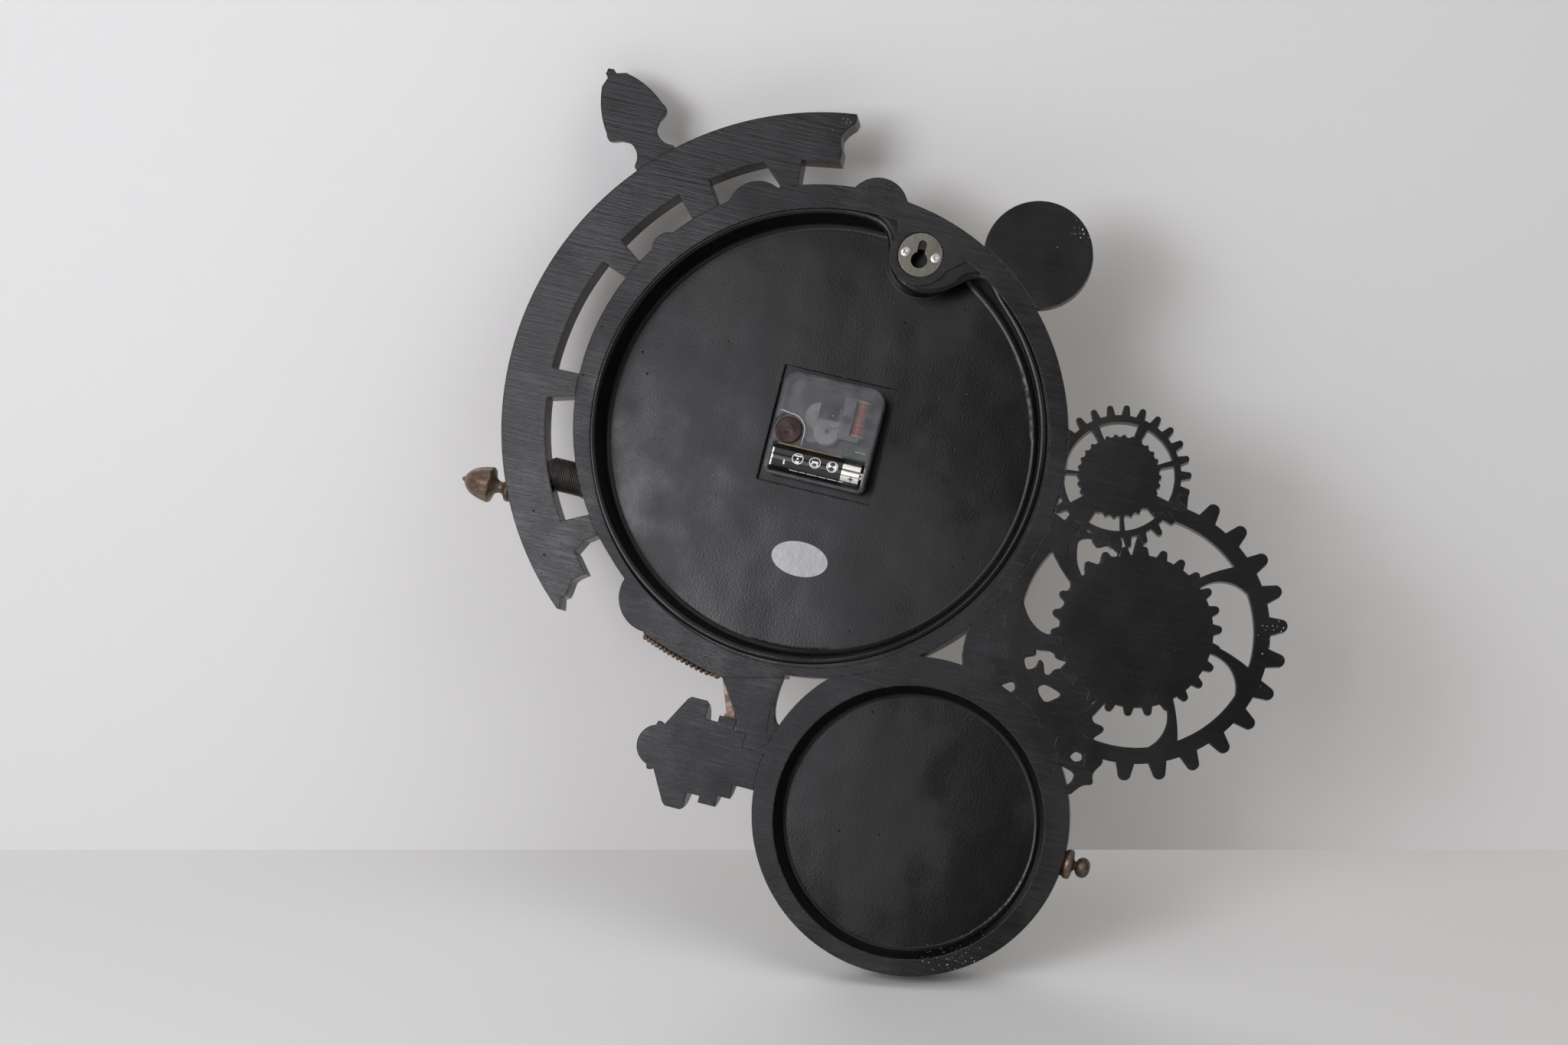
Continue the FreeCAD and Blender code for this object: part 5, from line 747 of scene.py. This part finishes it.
def make_rope_beads():
    mesh = bmesh.new()
    size = Matrix.Diagonal((1.35 * MM, 1.9 * MM, 1.7 * MM, 1.0))
    for number in range(BEADS):
        share = (number + 0.6) / BEADS
        place = (ROPE_START * (1 - share) ** 2 + ROPE_PULL * 2 * share * (1 - share)
                 + ROPE_END * share ** 2) * MM
        seat = Matrix.Translation((place.x, -2.5 * MM, place.y))
        bmesh.ops.create_uvsphere(mesh, u_segments=16, v_segments=10, radius=1.0, matrix=seat @ size)
    bmesh.ops.recalc_face_normals(mesh, faces=mesh.faces)
    return piece("rope_beads", mesh, "clock", FINISHES["bronze_trim"])


# Hanger screws: domed heads with a cross recess
SCREW_OFFSET = 8.3 * MM


def make_hanger_screws():
    low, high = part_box("hanger_screws")
    centre = middle_of("hanger_screws")
    centre.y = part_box("hanger_plate")[1][1]
    radius = (high[0] - low[0]) / 2 - SCREW_OFFSET
    mesh = bmesh.new()
    for side in (-1, 1):
        turn = 0.35 + side * 0.5

        def height(x, z):
            u = x * math.cos(turn) + z * math.sin(turn)
            v = z * math.cos(turn) - x * math.sin(turn)
            reach = math.hypot(x, z) / radius
            dome = 0.5 * MM * (1 - reach ** 2) ** 0.5 if reach < 1 else 0.0
            arm, length = sorted((abs(u), abs(v)))
            cross = arm < 0.42 * MM and length < 1.55 * MM
            return dome + 0.04 * MM - (0.75 * MM * (1 - length / (2.2 * MM)) if cross else 0.0)

        relief_disc(mesh, centre + SIDEWAYS * SCREW_OFFSET * side, radius, 20, 72, height, 0.5 * MM)
    return piece("hanger_screw_heads", mesh, "clock", FINISHES["screw_zinc"],
                 replaces=("hanger_screws",))


# Setting knob: a disc with fine radial ribs
KNOB_RIBS = 46


def make_knob():
    low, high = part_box("setting_knob")
    centre = middle_of("setting_knob")
    centre.y = high[1] - 0.35 * MM
    radius = (high[0] - low[0]) / 2 * 0.985

    def height(x, z):
        reach = math.hypot(x, z) / radius
        wave = 0.5 + 0.5 * math.cos(KNOB_RIBS * math.atan2(z, x))
        ribbed = min(max((reach - 0.16) / 0.1, 0.0), 1.0) * min(max((0.985 - reach) / 0.05, 0.0), 1.0)
        dimple = -0.45 * MM * max(0.0, 1 - (reach / 0.15) ** 2)
        return dimple + 0.42 * MM * wave * ribbed - 0.35 * MM * max(0.0, (reach - 0.9) / 0.1) ** 2

    mesh = bmesh.new()
    relief_disc(mesh, centre, radius, 16, KNOB_RIBS * 6, height, high[1] - low[1] - 0.4 * MM)
    return piece("ribbed_setting_knob", mesh, "setting", FINISHES["knob_brown"],
                 replaces=("setting_knob",))


# Cover of the movement: the lip that winds round the knob's recess, painted light grey as a painted
# highlight
def make_cover_lip():
    """From the cover's edge over the knob, round it, and down to the battery."""
    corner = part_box("movement_cover")[1]
    level, outer_edge = corner[1] - 0.15 * MM, corner[0] - 0.8 * MM
    knob = middle_of("setting_knob").xz
    reach, half = 9.0 * MM, 0.4 * MM
    flat = [(outer_edge, knob[1] + reach + 0.9 * MM), (knob[0] + 3.4 * MM, knob[1] + reach + 0.5 * MM)]
    flat += arc_points(knob, reach, 86.0, 180.0, 24)
    flat += [(flat[-1][0] + 0.2 * MM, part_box("battery_can")[1][2] + 1.4 * MM)]
    section = [(-half, 0.0), (-0.8 * half, 0.6 * half), (-0.35 * half, half), (0.35 * half, half),
               (0.8 * half, 0.6 * half), (half, 0.0)]
    # Painted highlight: the lip is painted light grey, much lighter than the smoky cover it belongs to.
    painted_highlight_ridge = plain_finish("cover_ridge_painted_highlight", (0.30, 0.30, 0.31), (0.42, 0.42, 0.43), 0.0, 0.25, 500.0)
    mesh = bmesh.new()
    sweep(mesh, [Vector((x, level, z)) for x, z in flat], section)
    return piece("cover_lip", mesh, "clock", painted_highlight_ridge)


def slab_piece(name, centre, size, finish, bevel=0.15):
    """A small flat part with rounded edges."""
    mesh = bmesh.new()
    bmesh.ops.create_cube(mesh, size=1.0, matrix=Matrix.Diagonal((*size, 1.0)))
    bmesh.ops.bevel(mesh, geom=mesh.edges[:], offset=bevel * MM, offset_type="OFFSET", segments=2,
                    profile=0.5, affect="EDGES", material=-1)
    bmesh.ops.translate(mesh, verts=mesh.verts, vec=centre)
    return piece(name, mesh, "clock", finish, smooth=False)


def make_movement_insides():
    """What shows through the cover: a dark plate, a dark strip and the brass contact strip."""
    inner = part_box("movement_cover")[1][1] - 1.25 * MM
    slab_piece("dark_inner_plate", (0.0, inner, 10.0 * MM), (11.0 * MM, 0.3 * MM, 8.2 * MM),
               FINISHES["case_black"])
    slab_piece("dark_top_strip", (-11.0 * MM, inner, 22.6 * MM), (24.0 * MM, 0.3 * MM, 4.2 * MM),
               FINISHES["case_black"])
    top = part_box("battery_can")[1][2]
    slab_piece("brass_strip", (5.0 * MM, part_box("movement_cover")[1][1] - 0.45 * MM, top + 0.5 * MM),
               (36.0 * MM, 0.5 * MM, 0.45 * MM), FINISHES["dark_brass"],
               bevel=0.1)


# Battery: rings and marks printed round its sleeve
BATTERY_LOW, BATTERY_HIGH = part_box("battery_jacket")
CELL_Y = (BATTERY_LOW[1] + BATTERY_HIGH[1]) / 2
CELL_Z = (BATTERY_LOW[2] + BATTERY_HIGH[2]) / 2
CELL_RADIUS = (BATTERY_HIGH[2] - BATTERY_LOW[2]) / 2


def on_cell(x, around, lift):
    """A point on the battery: around is the arc's length from its back line, upwards."""
    angle = around / CELL_RADIUS
    radius = CELL_RADIUS + lift
    return Vector((x, CELL_Y + radius * math.cos(angle), CELL_Z + radius * math.sin(angle)))


def printed_patch(mesh, outline_low, outline_high):
    """A thin strip between two rows of (x, around) places."""
    lift = 0.03 * MM
    rows = [[mesh.verts.new(on_cell(x, around, lift)) for x, around in row]
            for row in (outline_low, outline_high)]
    fill_ring(mesh, rows, closed=False)


def printed_bar(mesh, x_low, x_high, low, high):
    count = 6
    printed_patch(mesh, [(x_low, low + (high - low) * i / count) for i in range(count + 1)],
                  [(x_high, low + (high - low) * i / count) for i in range(count + 1)])


def printed_arc(mesh, centre, inner, outer, start, end, count=40):
    printed_patch(mesh, arc_points(centre, inner, start, end, count),
                  arc_points(centre, outer, start, end, count))


def make_battery_marks():
    white = plain_finish("white_print", (0.85, 0.85, 0.84), (0.78, 0.78, 0.77), 0.0, 0.3,
                         400.0, 0.00002)
    mesh = bmesh.new()
    for number, x in enumerate((10.4, 0.7, -9.0)):
        centre = (x * MM, 1.2 * MM)
        printed_arc(mesh, centre, 2.75 * MM, 3.15 * MM, 0.0, 360.0)
        if number == 0:
            printed_bar(mesh, (x - 1.9) * MM, (x + 1.9) * MM, 2.3 * MM, 3.1 * MM)
            printed_arc(mesh, (x * MM, 1.1 * MM), 0.0, 0.6 * MM, 0.0, 360.0, 20)
            printed_arc(mesh, (x * MM, -0.3 * MM), 0.0, 1.2 * MM, 180.0, 360.0, 20)
        elif number == 1:
            printed_bar(mesh, (x - 1.9) * MM, (x + 1.7) * MM, 0.9 * MM, 1.9 * MM)
            printed_arc(mesh, centre, 0.0, 2.4 * MM, 200.0, 340.0, 20)
        else:
            printed_arc(mesh, centre, 0.0, 2.5 * MM, -30.0, 60.0, 20)
            printed_arc(mesh, centre, 0.0, 2.5 * MM, 120.0, 250.0, 20)
    printed_bar(mesh, 17.0 * MM, 17.8 * MM, -3.6 * MM, -1.0 * MM)
    start = 14.0
    for length in (5.0, 3.4, 6.0, 4.2, 5.2, 3.0):
        printed_bar(mesh, (start - length) * MM, start * MM, -6.6 * MM, -6.1 * MM)
        start -= length + 0.7
    bmesh.ops.remove_doubles(mesh, verts=mesh.verts, dist=1e-7)
    piece("battery_white_print", mesh, "battery", white)
    mesh = bmesh.new()
    printed_bar(mesh, -21.6 * MM, -18.8 * MM, -3.6 * MM, -3.0 * MM)
    printed_bar(mesh, -20.5 * MM, -19.9 * MM, -4.7 * MM, -1.9 * MM)
    piece("battery_plus_mark", mesh, "battery", FINISHES["battery_wrap"])


# Gauge: printed scale and plain numbers on its face
SCALE_START, SCALE_END, SCALE_TICKS = -50.0, 230.0, 50


def make_gauge_scale():
    low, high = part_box("gauge_face")
    level = low[1] - 0.04 * MM
    centre = middle_of("gauge_face").xz
    radius = (high[0] - low[0]) / 2
    mesh = bmesh.new()

    def printed(inner, outer, first, last, count):
        rows = [[mesh.verts.new(Vector((x, level, z)))
                 for x, z in arc_points(centre, reach * radius, first, last, count)]
                for reach in (inner, outer)]
        fill_ring(mesh, rows, closed=False)

    printed(0.80, 0.815, SCALE_START, SCALE_END, 120)
    for tick in range(SCALE_TICKS + 1):
        angle = SCALE_START + (SCALE_END - SCALE_START) * tick / SCALE_TICKS
        inner, half = (0.75, 0.35) if tick % 5 else (0.70, 0.75)
        printed(inner, 0.80, angle - half, angle + half, 3)
    bmesh.ops.recalc_face_normals(mesh, faces=mesh.faces)
    for face in mesh.faces:
        if face.normal.y > 0:
            face.normal_flip()
    for number, (x, z) in enumerate(arc_points(centre, radius * 0.58, SCALE_END, SCALE_START, 11)):
        curve = bpy.data.curves.new("gauge_number", "FONT")
        curve.body = str(number * 10)
        curve.size = radius * 0.135
        curve.align_x, curve.align_y = "CENTER", "CENTER"
        holder = bpy.data.objects.new("gauge_number", curve)
        bpy.context.scene.collection.objects.link(holder)
        bpy.context.view_layer.update()
        shape = bpy.data.meshes.new_from_object(holder)
        for vert in shape.vertices:
            vert.co = Vector((x + vert.co.x, level, z + vert.co.y))
        mesh.from_mesh(shape)
        bpy.data.objects.remove(holder)
        bpy.data.curves.remove(curve)
        bpy.data.meshes.remove(shape)
    return piece("gauge_scale", mesh, "clock", FINISHES["dial_ink"], smooth=False)


# Domed rivets on the faces of the two gears
def make_gear_rivets():
    mesh = bmesh.new()
    for boss, share, count, size in (("large_gear_boss", 0.78, 6, 2.3), ("small_gear_boss", 0.74, 5, 1.5)):
        low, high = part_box(boss)
        radius = (high[0] - low[0]) / 2 * share
        lifts = [math.radians(15.0 * step) for step in range(7)]
        dome = [(size * 0.6 * math.sin(lift), size * math.cos(lift)) for lift in lifts]
        for x, z in arc_points(middle_of(boss).xz, radius, 20.0, 380.0, count + 1)[:-1]:
            turned(mesh, dome, Vector((x, low[1] + 0.9 * MM, z)), -BACKWARD, SIDEWAYS, 20)
    return piece("gear_face_rivets", mesh, "clock", FINISHES["bronze_trim"])


for make in (make_web, make_wedge_foot, make_funnel, make_boss_web, make_hollow_lip, make_side_finial,
             make_threaded_stud, make_crown, make_rope_beads, make_hanger_screws, make_knob,
             make_cover_lip, make_movement_insides, make_battery_marks, make_gauge_scale,
             make_gear_rivets):
    make()


# The photograph's camera, in the clock's own frame
LENS_PIXELS, WIDTH, HEIGHT = 3630.0, 2048.0, 1365.0
STAND_OFF = 1.5
AIM_X, AIM_Y = 1075.0, 558.5
LEAN, TURN, ROLL = (math.radians(angle) for angle in (-5.5, 7.5, 13.5))
PITCH = math.radians(14.0)
TILT = Matrix.Rotation(TURN, 3, "Y") @ Matrix.Rotation(LEAN, 3, "X") @ Matrix.Rotation(ROLL, 3, "Z")
# From the camera's right, down and away to the clock's X, Y and Z
TO_CLOCK = Matrix((-TILT.col[0], -TILT.col[2], -TILT.col[1]))
AIM = Vector(((AIM_X - WIDTH / 2) / LENS_PIXELS, (AIM_Y - HEIGHT / 2) / LENS_PIXELS, 1.0)) * STAND_OFF
CAMERA_PLACE = -(TO_CLOCK @ AIM)


def make_camera():
    data = bpy.data.cameras.new("photo_camera")
    data.sensor_width = 36.0
    data.lens = 36.0 * LENS_PIXELS / WIDTH
    data.clip_start, data.clip_end = 0.05, 20.0
    made = bpy.data.objects.new("photo_camera", data)
    turned_round = (TO_CLOCK @ Matrix.Diagonal((1.0, -1.0, -1.0))).to_4x4()
    made.matrix_world = Matrix.Translation(CAMERA_PLACE) @ turned_round
    bpy.context.scene.collection.objects.link(made)
    bpy.context.scene.camera = made


make_camera()

# Stage: a pale table and the wall behind it, seen from the camera's side only
UP = TO_CLOCK @ Vector((0.0, -math.cos(PITCH), -math.sin(PITCH)))
AWAY = TO_CLOCK @ Vector((0.0, -math.sin(PITCH), math.cos(PITCH)))
RIGHT = TO_CLOCK @ SIDEWAYS
WALL_FOOT_PIXEL = 1110.0
WALL_GAP = 0.004


def reach_towards(direction):
    """How far the clock reaches along a direction."""
    return max(direction.dot(vertex.co) for node in NODES.values() for vertex in node.data.vertices)


def stage_finish(name, tone, shade):
    """Pale paint that shows from its front side only."""
    made, graph, shader = material(name)
    slow = graph.noise(graph.place(), 1.3, 2.0)
    grain = graph.noise(graph.place(), 700.0)
    graph.fill(shader, Base_Color=graph.blend(graph.ramp(slow, 0.3, 0.7), tone, shade), Roughness=0.75,
               Specular_IOR_Level=0.2, Normal=graph.bumped(grain, 0.1, 0.0001))
    clear = graph.add("ShaderNodeBsdfTransparent").outputs[0]
    side = graph.add("ShaderNodeNewGeometry").outputs["Backfacing"]
    mixed = graph.add("ShaderNodeMixShader")
    for index, value in enumerate((side, shader.outputs[0], clear)):
        graph.feed(mixed.inputs[index], value)
    graph.fill(made.node_tree.nodes["Material Output"], Surface=mixed.outputs[0])
    return made


def stage_sheet(name, corners, finish):
    mesh = bpy.data.meshes.new(name)
    mesh.from_pydata([tuple(corner) for corner in corners], [], [(0, 1, 2, 3)])
    mesh.materials.append(finish)
    made = bpy.data.objects.new(name, mesh)
    bpy.context.scene.collection.objects.link(made)
    face = mesh.polygons[0]
    if face.normal.dot(CAMERA_PLACE - face.center) < 0:
        mesh.flip_normals()
    return made


def make_stage():
    ray = TO_CLOCK @ Vector((0.0, (WALL_FOOT_PIXEL - HEIGHT / 2) / LENS_PIXELS, 1.0))
    floor_level = -reach_towards(-UP)
    reach = (floor_level - UP.dot(CAMERA_PLACE)) / UP.dot(ray)
    wall_place = max(AWAY.dot(CAMERA_PLACE + ray * reach), reach_towards(AWAY) + WALL_GAP)
    foot = AWAY * wall_place + UP * floor_level
    side, near, tall = RIGHT * 2.2, AWAY * 2.4, UP * 2.4
    stage_sheet("table_top", [foot - side, foot - side - near, foot + side - near, foot + side],
                stage_finish("table_paint", (0.75, 0.742, 0.732), (0.72, 0.712, 0.702)))
    wall = stage_sheet("wall_behind", [foot - side, foot + side, foot + side + tall, foot - side + tall],
                       stage_finish("wall_paint", (0.73, 0.722, 0.714), (0.71, 0.702, 0.694)))
    wall.visible_shadow = False
    wall.visible_diffuse = False
    wall.visible_transmission = False


make_stage()


# Light: a large soft window to the left of the camera, and an even room
def from_left(turn, lift, distance):
    """A place seen from the clock: turned left of the camera and lifted, in degrees."""
    turn, lift = math.radians(turn), math.radians(lift)
    level = AWAY * math.cos(turn) + RIGHT * math.sin(turn)
    return (UP * math.sin(lift) - level * math.cos(lift)) * distance


def make_lights():
    middle = Vector((-0.03, 0.0, -0.05))
    white = (1.0, 1.0, 1.0)
    for name, offset, size, power, tint, diffuse, gloss in (
            ("window_light", from_left(36, 20, 3.6), 2.4, 39.0, (1.0, 0.99, 0.98), 1.0, 0.32),
            ("window_glow", from_left(34, 19, 1.3), 0.45, 6.0, (0.90, 0.90, 1.0), 0.0, 1.0),
            ("ceiling_light", UP * 3.0 - AWAY + RIGHT * 0.6, 2.4, 18.0, white, 1.0, 0.3),
            ("wall_wash", (RIGHT * 0.75 - AWAY * 0.9 + UP * 0.75) * 2.4, 2.0, 14.0, white, 1.0, 0.0),
            ("far_side_light", (AWAY - RIGHT * 0.5 + UP * 0.6) * 1.6, 1.2, 14.0, white, 1.0, 1.0)):
        data = bpy.data.lights.new(name, "AREA")
        data.size, data.energy, data.color = size, power, tint
        data.diffuse_factor, data.specular_factor = diffuse, gloss
        made = bpy.data.objects.new(name, data)
        made.location = middle + offset
        made.rotation_euler = (-offset).to_track_quat("-Z", "Y").to_euler()
        bpy.context.scene.collection.objects.link(made)


def make_room():
    """World light: brighter where the camera looks past the stage, weaker in reflections."""
    world = bpy.data.worlds.new("room")
    world.use_nodes = True
    graph = Graph(world.node_tree)
    rays = graph.add("ShaderNodeLightPath").outputs
    seen = rays["Is Camera Ray"]
    strength = graph.plus(graph.times(seen, 0.40), 0.24)
    strength = graph.math("SUBTRACT", strength, graph.times(rays["Is Glossy Ray"], 0.15))
    graph.fill(world.node_tree.nodes["Background"], Strength=strength,
               Color=graph.blend(seen, (1.0, 0.99, 0.97), (1.0, 1.0, 1.0)))
    bpy.context.scene.world = world


make_lights()
make_room()
bpy.context.scene.view_settings.view_transform = "Standard"
